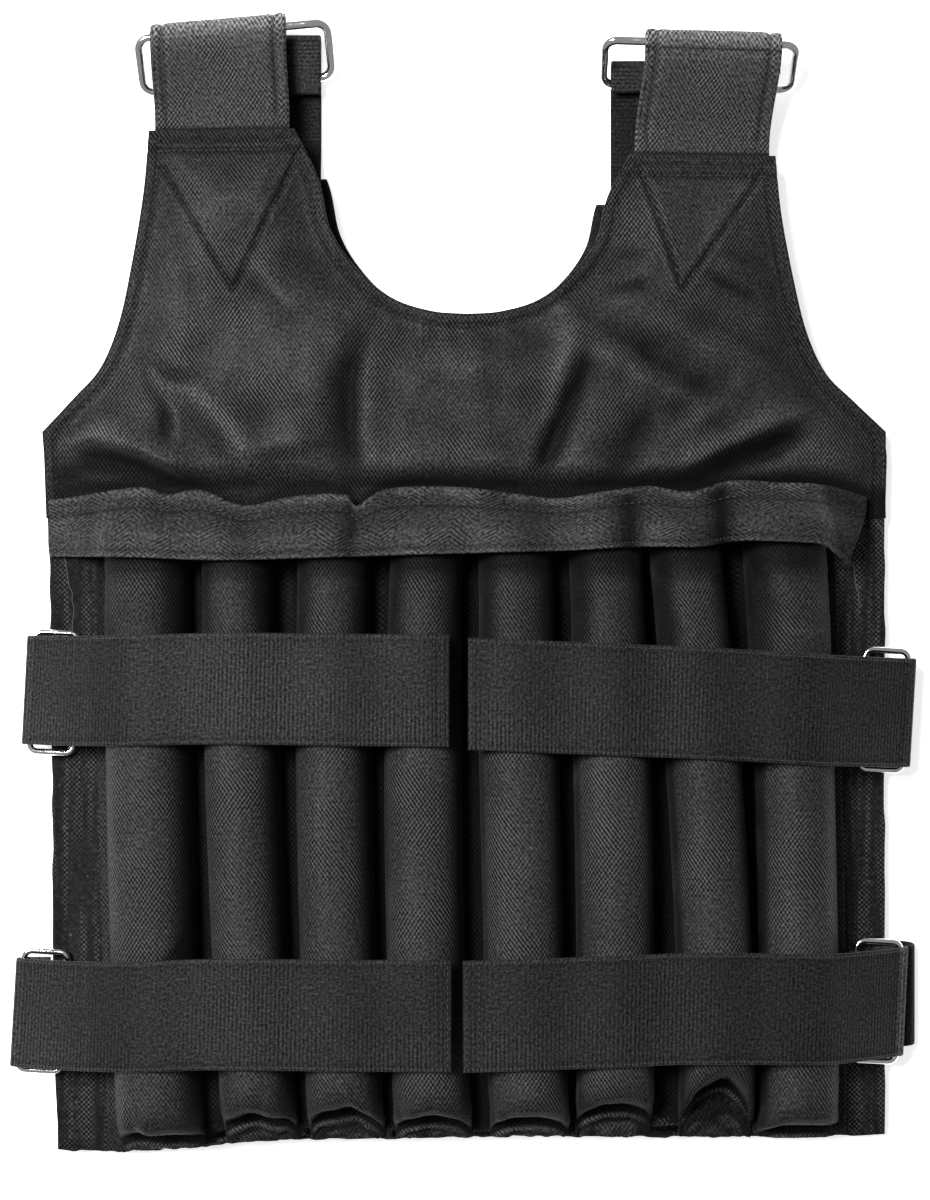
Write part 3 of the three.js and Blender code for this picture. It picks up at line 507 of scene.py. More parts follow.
def cloth(name, grid, flat, thickness, fill_rows, fill_cols, material, nodes=(), painted_light_and_tone=None):
    """A cloth with round rims about a grid of points in the middle of its thickness."""
    rows, cols = grid.shape[:2]
    normal = grid_normals(grid)
    half = thickness / 2 * fill_rows[:, None] * fill_cols[None, :]
    upper = grid + normal * half[..., None]
    lower = grid - normal * half[..., None]
    index = np.arange(rows * cols).reshape(rows, cols)
    under = np.full((rows, cols), -1)
    inside = (slice(1, -1), slice(1, -1))
    under[inside] = rows * cols + np.arange((rows - 2) * (cols - 2)).reshape(rows - 2, cols - 2)
    under[under < 0] = index[under < 0]
    faces = []
    for layer, flip in ((index, False), (under, True)):
        a, b = layer[:-1, :-1].ravel(), layer[:-1, 1:].ravel()
        c, d = layer[1:, 1:].ravel(), layer[1:, :-1].ravel()
        faces.append(np.stack([a, d, c, b] if flip else [a, b, c, d], axis=1))
    faces = np.concatenate(faces)
    points = np.concatenate([upper.reshape(-1, 3), lower[inside].reshape(-1, 3)])
    uvs = np.concatenate([flat.reshape(-1, 2), flat[inside].reshape(-1, 2)])
    if painted_light_and_tone is not None:
        painted_light_and_tone = np.concatenate([painted_light_and_tone.ravel(), painted_light_and_tone[inside].ravel()])
    return make_piece(name, points, faces, material, uvs, nodes, painted_light_and_tone)


def inset(outline, away):
    """Closed outline drawn in by a distance; the outline runs anticlockwise."""
    run = np.roll(outline, -1, axis=0) - outline
    run /= np.maximum(np.linalg.norm(run, axis=1, keepdims=True), 1e-9)
    before = np.roll(run, 1, axis=0)
    normal = np.stack([-(run + before)[:, 1], (run + before)[:, 0]], axis=1)
    normal /= np.maximum(np.linalg.norm(normal, axis=1, keepdims=True), 1e-9)
    corner = np.maximum(np.abs(normal[:, 0] * -run[:, 1] + normal[:, 1] * run[:, 0]), 0.5)
    return outline + normal * (away / corner)[:, None]


def resampled(outline, step, closed=True):
    """An outline or an open line with points at even steps."""
    points = np.vstack([outline, outline[:1]]) if closed else np.asarray(outline, float)
    out = []
    for a, b in zip(points, points[1:]):
        count = max(1, round(float(np.linalg.norm(b - a)) / step))
        out.extend(lerp(a, b, i / count) for i in range(count))
    if not closed:
        out.append(points[-1])
    return np.array(out)


def panel(name, outline, top, thickness, step, material, nodes=(), painted_light_and_tone=None):
    """A cloth cut to an outline, under a height that is a function of x and y, with a round rim."""
    edge = resampled(outline, step)
    radius = thickness / 2
    rings = [edge] + [inset(edge, radius * share) for share in (0.12, 0.4, 1.0, 1.8)]
    low, high = edge.min(axis=0), edge.max(axis=0)
    ys = np.arange(low[1], high[1], step * 0.87)
    inner = []
    for row, y in enumerate(ys):
        xs = np.arange(low[0] + (row % 2) * step / 2, high[0], step)
        inner.append(np.stack([xs, np.full(xs.shape, y)], axis=1))
    inner = np.concatenate(inner)
    away, side, _ = to_line(inner[:, 0], inner[:, 1], edge, closed=True)
    inner = inner[(side > 0) & (away > radius * 1.8 + step * 0.55)]
    points = np.concatenate([*rings, inner])
    sides = [(i, (i + 1) % len(edge)) for i in range(len(edge))]
    flat, _, tris, *_ = delaunay_2d_cdt([Vector(p) for p in points], sides, [], 1, 1e-4)
    flat = np.array([tuple(p) for p in flat])
    tris = np.array(tris)
    away, _, _ = to_line(flat[:, 0], flat[:, 1], edge, closed=True)
    share = rounded(away, radius)
    middle = top(flat[:, 0], flat[:, 1]) - radius
    on_edge = away < 1e-3
    count = len(flat)
    under = np.where(on_edge, np.arange(count), count + np.cumsum(~on_edge) - 1)
    upper = np.column_stack([flat, middle + radius * share])
    lower = np.column_stack([flat, middle - radius * share])[~on_edge]
    faces = np.concatenate([tris, under[tris][:, ::-1]])
    uvs = np.concatenate([flat, flat[~on_edge]])
    if painted_light_and_tone is not None:
        painted_light_and_tone = painted_light_and_tone(*flat.T)
        painted_light_and_tone = np.concatenate([painted_light_and_tone, painted_light_and_tone[~on_edge]])
    return make_piece(name, np.concatenate([upper, lower]), faces, material, uvs, nodes, painted_light_and_tone)


# Stitches

def dashes(runs, pitch, length, width, rise):
    """Points and faces of small raised stitches along runs of places and normals."""
    ring = np.radians([0, 60, 120, 180, 240, 300])
    stations = [(-0.5, 0.0), (-0.42, 0.75), (-0.15, 1.0), (0.15, 1.0), (0.42, 0.75), (0.5, 0.0)]
    points, faces = [], []
    for places, normals in runs:
        begun = run_along(places)
        count = int(begun[-1] / pitch)
        for k in range(count):
            at = (k + 0.5) * pitch
            here, behind, ahead = places_at(
                [at, max(at - pitch / 3, 0), min(at + pitch / 3, begun[-1])], begun, places,
            )
            up = places_at(at, begun, normals)
            run = ahead - behind
            run /= max(np.linalg.norm(run), 1e-9)
            out = np.cross(run, up)
            out /= max(np.linalg.norm(out), 1e-9)
            up = np.cross(out, run)
            base = len(points)
            for along, full in stations:
                middle = here + run * along * length + up * rise * (full - 0.6)
                if full == 0:
                    points.append(middle)
                    continue
                for angle in ring:
                    spoke = out * math.cos(angle) + up * math.sin(angle)
                    points.append(middle + full * width / 2 * spoke)
            for side in range(6):
                after = (side + 1) % 6
                faces.append((base, base + 1 + after, base + 1 + side))
                for station in range(3):
                    a, b = base + 1 + station * 6 + side, base + 1 + station * 6 + after
                    faces.append((a, b, b + 6, a + 6))
                last = base + 1 + 3 * 6
                faces.append((last + side, last + after, last + 6))
    return points, faces


def stitches(name, runs, pitch=3.3, length=2.5, width=0.6, rise=0.3, material="thread"):
    """One piece for all stitches of one kind along some runs."""
    points, faces = dashes(runs, pitch, length, width, rise)
    return make_piece(name, np.array(points), faces, MATERIALS[material])


def run_on(top, line, step=1.5):
    """Places and normals along a line on a height."""
    line = resampled(np.asarray(line, float), step, closed=False)
    x, y = line[:, 0], line[:, 1]
    z = top(x, y)
    normal = np.column_stack([
        -(top(x + 0.5, y) - top(x - 0.5, y)), -(top(x, y + 0.5) - top(x, y - 0.5)), np.ones(len(x)),
    ])
    normal /= np.linalg.norm(normal, axis=1, keepdims=True)
    return np.column_stack([x, y, z]), normal


def grid_run(grid, path, thickness, side=1):
    """Places and normals along a path of row and column numbers on a cloth's grid."""
    normal = grid_normals(grid)
    rows, cols = np.array(path).T
    normals = normal[rows, cols] * side
    return grid[rows, cols] + normals * thickness / 2, normals


# Materials

def socket(group, name, kind, way, value=None):
    item = group.interface.new_socket(name=name, in_out=way, socket_type=kind)
    if value is not None:
        item.default_value = value
    return item


class Nodes:
    """Short calls for the nodes of one tree."""

    def __init__(self, tree):
        self.tree = tree

    def new(self, kind, **settings):
        node = self.tree.nodes.new(kind)
        for key, value in settings.items():
            setattr(node, key, value)
        return node

    def feed(self, target, value):
        if isinstance(value, bpy.types.NodeSocket):
            self.tree.links.new(value, target)
        elif value is not None:
            target.default_value = value

    def math(self, operation, a, b=None, c=None, clamp=False):
        node = self.new("ShaderNodeMath", operation=operation, use_clamp=clamp)
        for target, value in zip(node.inputs, (a, b, c)):
            self.feed(target, value)
        return node.outputs[0]

    def mix(self, share, a, b):
        node = self.new("ShaderNodeMix", data_type="RGBA")
        self.feed(node.inputs["Factor"], share)
        self.feed(node.inputs[6], a)
        self.feed(node.inputs[7], b)
        return node.outputs[2]

    def noise(self, vector, scale, detail=2.0, rough=0.5):
        node = self.new("ShaderNodeTexNoise")
        self.feed(node.inputs["Vector"], vector)
        self.feed(node.inputs["Scale"], scale)
        node.inputs["Detail"].default_value = detail
        node.inputs["Roughness"].default_value = rough
        return node.outputs["Fac"]

    def ramp(self, value, low, high, out_low=0.0, out_high=1.0):
        node = self.new("ShaderNodeMapRange", interpolation_type="SMOOTHSTEP")
        for key, number in zip(("Value", "From Min", "From Max", "To Min", "To Max"),
                               (value, low, high, out_low, out_high)):
            self.feed(node.inputs[key], number)
        return node.outputs[0]


def weave_group(name, pitches):
    """A group for a weave, with the place on the cloth and some pitches going in and a height coming out.

    Gives the group, short calls for its nodes, its inputs, the x and y of the place, and its output.
    """
    group = bpy.data.node_groups.new(name, "ShaderNodeTree")
    socket(group, "Cloth", "NodeSocketVector", "INPUT")
    for key, pitch in pitches.items():
        socket(group, key, "NodeSocketFloat", "INPUT", pitch)
    socket(group, "Height", "NodeSocketFloat", "OUTPUT")
    n = Nodes(group)
    given, result = n.new("NodeGroupInput"), n.new("NodeGroupOutput")
    split = n.new("ShaderNodeSeparateXYZ")
    n.feed(split.inputs[0], given.outputs["Cloth"])
    return group, n, given.outputs, split.outputs, result.inputs["Height"]


def plain_weave_group():
    """Woven cloth in which each thread goes over and under by turns."""
    group, n, given, split, height = weave_group("plain_weave", {"Warp Pitch": 0.001, "Weft Pitch": 0.0015})
    drift = n.math("MULTIPLY", n.math("SUBTRACT", n.noise(given["Cloth"], 45.0), 0.5), 1.6)
    u = n.math("ADD", n.math("DIVIDE", split["X"], given["Warp Pitch"]), drift)
    v = n.math("DIVIDE", split["Y"], given["Weft Pitch"])
    falling = n.math("SINE", n.math("MULTIPLY", n.math("ADD", u, v), math.pi))
    rising = n.math("SINE", n.math("MULTIPLY", n.math("SUBTRACT", u, v), math.pi))
    lean = n.ramp(n.noise(given["Cloth"], 32.0, 2.0), 0.4, 0.62, 0.26, 0.6)
    thread = n.math("ADD", falling, n.math("MULTIPLY", lean, n.math("SUBTRACT", rising, falling)))
    clear = n.ramp(n.noise(given["Cloth"], 30.0, 3.0), 0.38, 0.66, 0.2, 0.7)
    specks = n.math("MULTIPLY_ADD", n.noise(given["Cloth"], 620.0, 1.0), 1.1, -0.05)
    n.feed(height, n.math("MULTIPLY_ADD", thread, clear, specks, clamp=True))
    return group


def rib_group():
    """Webbing with ribs across its length, clearer in some places than in others."""
    group, n, given, split, height = weave_group("ribbed_webbing", {"Rib Pitch": 0.0018})
    sway = n.math("MULTIPLY", n.math("SUBTRACT", n.noise(given["Cloth"], 300.0), 0.5), 0.5)
    u = n.math("ADD", n.math("DIVIDE", split["X"], given["Rib Pitch"]), sway)
    even = n.math("SINE", n.math("MULTIPLY", n.math("FRACT", u), math.pi))
    clear = n.ramp(n.noise(given["Cloth"], 16.0, 2.0), 0.4, 0.62, 0.12, 0.5)
    specks = n.math("MULTIPLY_ADD", n.noise(given["Cloth"], 700.0, 1.0), 1.5, -0.25)
    n.feed(height, n.math("MULTIPLY_ADD", n.math("SUBTRACT", even, 0.64), clear, specks))
    return group


def herringbone_group():
    """Twill whose slanting lines turn back in upright columns."""
    group, n, given, split, height = weave_group("herringbone", {"Column": 0.008, "Line Pitch": 0.0017})
    zig = n.math("MULTIPLY", n.math("PINGPONG", split["X"], given["Column"]), 0.62)
    line = n.math("DIVIDE", n.math("ADD", split["Y"], zig), given["Line Pitch"])
    slant = n.math("SINE", n.math("MULTIPLY", n.math("FRACT", line), math.pi))
    clear = n.ramp(n.noise(given["Cloth"], 60.0, 3.0), 0.4, 0.64, 0.08, 0.62)
    specks = n.math("MULTIPLY_ADD", n.noise(given["Cloth"], 620.0, 1.0), 1.4, -0.2)
    n.feed(height, n.math("MULTIPLY_ADD", n.math("SUBTRACT", slant, 0.64), clear, specks))
    return group


def lining_group():
    """Coarse weave that shows in some columns along the cloth and is lost in others."""
    group, n, given, split, height = weave_group("columned_lining", {"Thread Pitch": 0.0012})
    stretched = n.new("ShaderNodeVectorMath", operation="MULTIPLY")
    n.feed(stretched.inputs[0], given["Cloth"])
    stretched.inputs[1].default_value = (1.0, 0.06, 1.0)
    columns = n.ramp(n.noise(stretched.outputs[0], 190.0, 2.0), 0.4, 0.62, 0.1, 1.0)
    across, along = (
        n.math("SINE", n.math("MULTIPLY", n.math("DIVIDE", split[axis], given["Thread Pitch"]), math.pi))
        for axis in ("X", "Y")
    )
    thread = n.math("MULTIPLY", n.math("MULTIPLY", across, along), n.math("MULTIPLY", columns, 0.55))
    specks = n.math("MULTIPLY_ADD", n.noise(given["Cloth"], 420.0, 1.0), 0.8, -0.1)
    shown = n.math("MULTIPLY_ADD", columns, 0.6, 0.5)
    n.feed(height, n.math("MULTIPLY", n.math("ADD", thread, specks), shown, clamp=True))
    return group


def tone_lint_and_painted_light_group():
    """Slow changes of tone over a cloth, specks of lint, and the painted shade or painted highlight of each
    place, read from its point attribute.
    """
    group = bpy.data.node_groups.new("cloth_tone_lint_and_painted_light", "ShaderNodeTree")
    socket(group, "Cloth", "NodeSocketVector", "INPUT")
    socket(group, "Tone", "NodeSocketFloat", "OUTPUT")
    socket(group, "Lint", "NodeSocketFloat", "OUTPUT")
    socket(group, "Painted Light", "NodeSocketFloat", "OUTPUT")
    n = Nodes(group)
    given, result = n.new("NodeGroupInput"), n.new("NodeGroupOutput")
    wide = n.noise(given.outputs["Cloth"], 14.0, 3.0)
    fine = n.noise(given.outputs["Cloth"], 900.0, 1.0)
    lint = n.noise(given.outputs["Cloth"], 330.0, 0.0)
    n.feed(result.inputs["Tone"], n.math("MULTIPLY_ADD", wide, 0.5, n.math("MULTIPLY", fine, 0.5)))
    n.feed(result.inputs["Lint"], n.ramp(lint, 0.8, 0.86))
    # The point attribute holds painted shade above 0 and painted highlights below 0
    painted_light_and_tone = n.new("ShaderNodeAttribute", attribute_name="painted_light_and_tone").outputs["Fac"]
    n.feed(result.inputs["Painted Light"], n.math("MAXIMUM", n.math("SUBTRACT", 1.0, painted_light_and_tone), 0.03))
    return group


GROUPS = {
    "plain": plain_weave_group(),
    "rib": rib_group(),
    "herringbone": herringbone_group(),
    "lining": lining_group(),
    "tone_lint_and_painted_light": tone_lint_and_painted_light_group(),
}


def new_material(name):
    material = bpy.data.materials.new(name)
    material.use_nodes = True
    return material, Nodes(material.node_tree), material.node_tree.nodes["Principled BSDF"]


def fabric(name, slot, weave, pitches, dark, light, bump, gloss, rough, lint=0.3):
    """A woven material: the weave's height shades it and lifts it; random tone and lint change its colour,
    and painted shade and painted highlights darken or pale it.
    """
    material, n, shader = new_material(name)
    cloth_map = n.new("ShaderNodeUVMap", uv_map="cloth")
    woven = n.new("ShaderNodeGroup", node_tree=GROUPS[weave])
    wear_and_painted_light = n.new("ShaderNodeGroup", node_tree=GROUPS["tone_lint_and_painted_light"])
    n.feed(woven.inputs["Cloth"], cloth_map.outputs["UV"])
    n.feed(wear_and_painted_light.inputs["Cloth"], cloth_map.outputs["UV"])
    for key, pitch in pitches.items():
        woven.inputs[key].default_value = pitch
    height = woven.outputs["Height"]
    shade = n.math("MULTIPLY_ADD", n.math("SUBTRACT", wear_and_painted_light.outputs["Tone"], 0.5), 0.6, height, clamp=True)
    colour = n.mix(n.math("POWER", shade, 1.6), (*dark, 1), (*light, 1))
    linted = n.mix(n.math("MULTIPLY", wear_and_painted_light.outputs["Lint"], lint), colour, (0.09, 0.09, 0.09, 1))
    # Painted shade and painted highlights scale the base colour here
    toned = n.new("ShaderNodeVectorMath", operation="SCALE")
    n.feed(toned.inputs[0], linted)
    n.feed(toned.inputs["Scale"], wear_and_painted_light.outputs["Painted Light"])
    n.feed(shader.inputs["Base Color"], toned.outputs[0])
    covered = n.math("MULTIPLY_ADD", wear_and_painted_light.outputs["Painted Light"], -0.25, 0.25, clamp=True)
    raised = n.math("MULTIPLY_ADD", height, -0.3, rough + 0.2)
    n.feed(shader.inputs["Roughness"], n.math("ADD", raised, covered))
    shader.inputs["Specular IOR Level"].default_value = gloss
    shader.inputs["Sheen Weight"].default_value = 0.03
    shader.inputs["Sheen Roughness"].default_value = 0.4
    lift = n.new("ShaderNodeBump")
    lift.inputs["Strength"].default_value = 1.0
    lift.inputs["Distance"].default_value = bump
    n.feed(lift.inputs["Height"], height)
    n.feed(shader.inputs["Normal"], lift.outputs["Normal"])
    material["slot"] = slot
    return material


def sewing_thread(name, dark, light):
    material, n, shader = new_material(name)
    speck = n.noise(n.new("ShaderNodeTexCoord").outputs["Object"], 1400.0, 1.0)
    n.feed(shader.inputs["Base Color"], n.mix(speck, (dark, dark, dark, 1), (light, light, light, 1)))
    n.feed(shader.inputs["Roughness"], n.math("MULTIPLY_ADD", speck, 0.2, 0.5))
    return material


def chrome():
    material, n, shader = new_material("bright_chrome")
    dull = n.noise(n.new("ShaderNodeTexCoord").outputs["Object"], 240.0, 3.0)
    tone = n.mix(n.ramp(dull, 0.45, 0.7), (0.86, 0.86, 0.87, 1), (0.66, 0.66, 0.68, 1))
    n.feed(shader.inputs["Base Color"], tone)
    n.feed(shader.inputs["Roughness"], n.ramp(dull, 0.4, 0.7, 0.07, 0.22))
    shader.inputs["Metallic"].default_value = 1.0
    return material


MATERIALS = {
    "oxford": fabric(
        "oxford_cloth", "oxford_cloth", "plain", {"Warp Pitch": 0.00104, "Weft Pitch": 0.00148},
        dark=(0.0005, 0.0005, 0.0005), light=(0.0487, 0.0487, 0.0492), bump=0.00025, gloss=0.1, rough=0.5,
    ),
    "lining": fabric(
        "lining_cloth", "lining_cloth", "lining", {"Thread Pitch": 0.00125},
        dark=(0.003, 0.003, 0.003), light=(0.058, 0.058, 0.0585), bump=0.0002, gloss=0.05, rough=0.6,
    ),
    "band": fabric(
        "twill_band", "twill_band", "herringbone", {"Column": 0.0115, "Line Pitch": 0.00205},
        dark=(0.0015, 0.0015, 0.0015), light=(0.054, 0.054, 0.0545), bump=0.00025, gloss=0.08, rough=0.5,
    ),
    "webbing": fabric(
        "ribbed_webbing", "webbing", "rib", {"Rib Pitch": 0.00207},
        dark=(0.001, 0.001, 0.001), light=(0.0258, 0.0258, 0.0261), bump=0.00025, gloss=0.08, rough=0.5,
        lint=0.05,
    ),
    "canvas": fabric(
        "bag_canvas", "bag_cloth", "plain", {"Warp Pitch": 0.0011, "Weft Pitch": 0.0011},
        dark=(0.004, 0.004, 0.004), light=(0.03, 0.03, 0.03), bump=0.0003, gloss=0.2, rough=0.6,
    ),
    "thread": sewing_thread("dark_thread", 0.003, 0.02),
    "pale_thread": sewing_thread("grey_thread", 0.01, 0.06),
    "chrome": chrome(),
}


# Shapes of the panels

def front_under(x, y):
    """Height of the front panel's lower face, arched over the trunk."""
    across = np.minimum(1, np.abs(x) / HALF_PANEL)
    fall = np.where(
        y < ARCH_CREST,
        ARCH_HEM_FALL * (1 - y / ARCH_CREST) ** 2,
        ARCH_SHOULDER_FALL * ((y - ARCH_CREST) / (SEAM_HEIGHT - ARCH_CREST)) ** 2,
    )
    return FRONT_LIFT + ARCH_RISE * (1 - fall) * (1 - across**ARCH_POWER)


def front_top(x, y):
    return front_under(np.asarray(x, float), np.asarray(y, float)) + PANEL_THICKNESS


def seam_ends(shoulder, neck_margin=0):
    """Inner and outer ends of a shoulder's seam."""
    height = SEAM_HEIGHT - shoulder["drop"]
    inner = SHOULDER_INNER - shoulder["inward"] - neck_margin
    outer = SHOULDER_INNER - shoulder["inward"] + SHOULDER_WIDTH
    return np.array([shoulder["sign"] * inner, height]), np.array([shoulder["sign"] * outer, height])


def table_curve(table, start, end):
    """Smooth line between two places, by shares of the way across and down."""
    knots = [(lerp(start[0], end[0], across), lerp(start[1], end[1], down)) for across, down in table]
    return curve(knots, 6)


def cut_above(points, limit):
    """The part of a falling line that lies below a height."""
    low = int(np.argmax(points[:, 1] < limit - 0.05))
    if low < 1:
        return points
    share = (points[low - 1][1] - limit) / (points[low - 1][1] - points[low][1])
    return np.vstack([lerp(points[low - 1], points[low], share), points[low:]])


def hem_y(x):
    return np.interp(x, *zip(*HEM))


def side_x(sign, y):
    return np.interp(y, *zip(*LEFT_SIDE)) if sign < 0 else HALF_PANEL + 0 * y


def panel_outline(cut, neck_margin):
    """Outline of a panel, cut off below the shoulders' seams."""
    parts = {}
    for name, shoulder in SHOULDERS.items():
        inner, outer = seam_ends(shoulder, neck_margin)
        side = np.array([side_x(shoulder["sign"], SIDE_HEIGHT), SIDE_HEIGHT])
        limit = inner[1] - cut
        parts[name] = (
            cut_above(table_curve(ARMHOLE, outer, side), limit),
            cut_above(table_curve(NECKLINE, inner, np.array([0, NECK_HEIGHT])), limit),
        )
    right_arm, right_neck = parts["right"]
    left_arm, left_neck = parts["left"]
    xs = np.linspace(side_x(-1, 0), side_x(1, 0), 214)
    ys = np.arange(14, SIDE_HEIGHT - 6, 4.0)
    return np.vstack([
        np.column_stack([xs, hem_y(xs) + HEM_RAGGED * noise(xs, 0 * xs, 4, 11)]),
        np.column_stack([side_x(1, ys) + SIDE_RAGGED * noise(ys, 0 * ys, 11, 12), ys]), right_arm[::-1],
        right_neck[:-1], left_neck[::-1], left_arm,
        np.column_stack([side_x(-1, ys) + SIDE_RAGGED * noise(ys, 0 * ys, 11, 13), ys])[::-1],
    ])


CHEST_OUTLINE = panel_outline(0, 0)
CHEST_CUT = np.vstack([
    [[side_x(-1, CHEST_BOTTOM), CHEST_BOTTOM], [HALF_PANEL, CHEST_BOTTOM]],
    CHEST_OUTLINE[CHEST_OUTLINE[:, 1] > CHEST_BOTTOM],
])


def chest_top(x, y):
    """Outer face of the chest's cloth."""
    x, y = np.asarray(x, float), np.asarray(y, float)
    away, _, share = to_line(x, y, CHEST_OUTLINE, closed=True)
    puffed = smooth(away, HEM_WIDTH - 3, 36) * smooth(y, CHEST_BOTTOM + 14, CHEST_BOTTOM + 27)
    rise = np.full(x.shape, float(CHEST_PUFF))
    for fold in CHEST_FOLDS:
        line = curve(fold["line"], 8)
        off, side, along = to_line(x, y, line)
        width = np.where(side > 0, fold["left"], fold["right"])
        ends = smooth(np.minimum(along, 1 - along), -0.02, 0.3) * 0.75 + 0.25
        rise += FOLD_GAIN * fold["rise"] * ends * peak(off, 0, width)
    rise += 1.5 * noise(x + 0.5 * y, y, 34, 3) + 0.8 * noise(x, y, 15, 4)
    fine = 0.3 * noise(x, y, 6.5, 5) + 0.12 * noise(x, y, 3.6, 6)
    gather = 0.5 * np.sin(share * 900 + 2 * noise(x, y, 20, 7)) * peak(away, 9.5, 5)
    neck = smooth(y, 395, 415) * smooth(-np.abs(x), -75, -45)
    pucker = 0.34 * noise(share * 1400, away * 0.2, 2.6, 8) * peak(away, STITCH_IN, 3.2)
    hem = 0.9 * (1 - smooth(away, HEM_WIDTH - 1.2, HEM_WIDTH + 0.8))
    grooves = -1.5 * peak(away, STITCH_IN, 1.1) - 0.5 * peak(away, STITCH_EDGE, 0.7)
    for line in VEES:
        off, _, along = to_line(x, y, line)
        grooves += -1.7 * peak(off, 0, 1.3) + 0.5 * peak(off, 3, 1.6)
        fine += 0.35 * noise(along * 260, off, 3, 9) * peak(off, 0, 4)
    for shoulder in SHOULDERS.values():
        inner, _ = seam_ends(shoulder)
        below = inner[1] - y
        near = np.where(np.sign(x) == shoulder["sign"], 1, 0)
        grooves += (-1.4 * peak(below, SEAM_ROWS[1], 1.2) - 0.8 * peak(below, SEAM_ROWS[0], 0.8)) * near
        fine += 0.5 * noise(x, below * 0.4, 3.0, 10) * peak(below, 7, 4) * near
    lift = puffed * np.maximum(rise, 0.2) + smooth(away, 4, 12) * fine
    lift += gather * neck + pucker + hem + grooves
    return front_top(x, y) + SEAT + CHEST_THICKNESS + np.maximum(lift, -1.2)


def near_line(x, y, knots, width):
    """1 on a smooth line through knots, falling off to both sides."""
    return peak(to_line(x, y, curve(knots, 6))[0], 0, width)


def chest_painted_light(x, y):
    """Painted shade and painted highlights of the chest's cloth: painted shade in folds and painted
    highlights on ridges, a painted shadow above the band, painted shade along the stitches and at the
    edges, and random tone.
    """
    step, reach = 2.0, 9
    xs, ys = np.arange(-220, 221, step), np.arange(CHEST_BOTTOM - 8, SEAM_HEIGHT + 9, step)
    height = chest_top(*np.meshgrid(xs, ys)) - front_top(*np.meshgrid(xs, ys))
    kernel = peak(np.arange(-reach, reach + 1) * step, 0, 8)
    kernel /= kernel.sum()
    around = np.pad(height, reach, mode="edge")
    around = np.apply_along_axis(np.convolve, 1, around, kernel, mode="valid")
    around = np.apply_along_axis(np.convolve, 0, around, kernel, mode="valid")
    # Painted shade where the cloth lies below its surroundings, painted highlights where it stands above
    # them
    depth = np.clip(around - height, -1.6, 2.4)
    i, j = np.clip((x - xs[0]) / step, 0, len(xs) - 2), np.clip((y - ys[0]) / step, 0, len(ys) - 2)
    a, b = i.astype(int), j.astype(int)
    low = lerp(depth[b, a], depth[b, a + 1], i - a)
    high = lerp(depth[b + 1, a], depth[b + 1, a + 1], i - a)
    sunk = lerp(low, high, j - b)
    away = to_line(x, y, CHEST_OUTLINE, closed=True)[0]
    inside = smooth(away, 6, 16)
    sunk = np.where(sunk > 0, 0.36 * sunk, 0.26 * sunk) * inside
    # Painted shadow in the recess above the band, and the listed painted shadows
    above = y - np.interp(x, *curve(FLAP_TOP, 6).T)
    recess = 0.93 * (1 - smooth(above, 1.5 + 2 * noise(x, 0 * x, 40, 91), 11 + 4 * noise(x, 0 * x, 55, 92)))
    recess *= 1 - 0.75 * smooth(-x, 205, 214)
    for dark in CHEST_PAINTED_SHADOWS:
        recess = 1 - (1 - recess) * (1 - dark["deep"] * near_line(x, y, dark["line"], dark["wide"]))
    # Painted shade along the stitched grooves and at the cut edge
    seam_shade = 0.6 * peak(away, STITCH_IN, 1.3) + 0.35 * (1 - smooth(away, 0.5, 1.6))
    for line in VEES:
        seam_shade = np.maximum(seam_shade, 0.5 * peak(to_line(x, y, line)[0], 0, 1.1))
    for shoulder in SHOULDERS.values():
        inner, _ = seam_ends(shoulder)
        below = np.where(np.sign(x) == shoulder["sign"], inner[1] - y, 99)
        seam_shade = np.maximum(seam_shade, 0.6 * peak(below, SEAM_ROWS[1], 1.4))
        seam_shade = np.maximum(seam_shade, 0.35 * (1 + noise(x, below, 3, 93)) * peak(below, 4, 2.2))
    # Random tone, a darker hem band, painted shade over the lower right and the upper left, and the listed
    # painted highlights
    tone_and_shade = 0.17 + 0.13 * noise(x, y, 26, 94) + 0.08 * noise(x, y, 11, 95)
    tone_and_shade += 0.12 * (1 - smooth(away, 6.5, 8.5))
    tone_and_shade += 0.14 * smooth(x, -20, 30) * (1 - smooth(y, 440, 470))
    tone_and_shade += 0.12 * smooth(y, 420, 450) * (1 - smooth(x, 0, 60))
    for painted_highlight in CHEST_PAINTED_HIGHLIGHTS:
        tone_and_shade -= painted_highlight["highlight_gain"] * near_line(x, y, painted_highlight["line"], painted_highlight["wide"])
    return 1 - (1 - np.clip(sunk + tone_and_shade, -0.7, 0.85)) * (1 - recess) * (1 - seam_shade)


# Sleeves

def pocket_middle(index, along):
    """Middle of a sleeve: a curve through its places at the foot, waist and mouth."""
    pocket = POCKETS[index]
    a, b, c = 0.1, 0.48, 0.9
    lean = (pocket["foot"] * (along - b) * (along - c) / ((a - b) * (a - c))
            + pocket["waist"] * (along - a) * (along - c) / ((b - a) * (b - c))
            + pocket["mouth"] * (along - a) * (along - b) / ((c - a) * (c - b)))
    return (index - (len(POCKETS) - 1) / 2 + lean) * POCKET_PITCH


def drawn_up(x, y):
    """How far the sheet of sleeves follows the hem upwards near its foot."""
    return (hem_y(x) + 1 - POCKET_FOOT) * (1 - smooth(y, POCKET_FOOT, 64))


def above_arch(index, y, across):
    """Height above the arched line at a sleeve's foot, for shares across the sleeve."""
    pocket = POCKETS[index]
    bow = np.sqrt(np.clip(1 - across**2, 0, 1))
    wave = 1.3 * noise(across * 14 + 30 * index, 0 * across, 7, 60)
    return y - (pocket["side"] + (pocket["arch"] - pocket["side"]) * bow) - wave


def pocket_y(along):
    return lerp(POCKET_FOOT, POCKET_TOP, along)


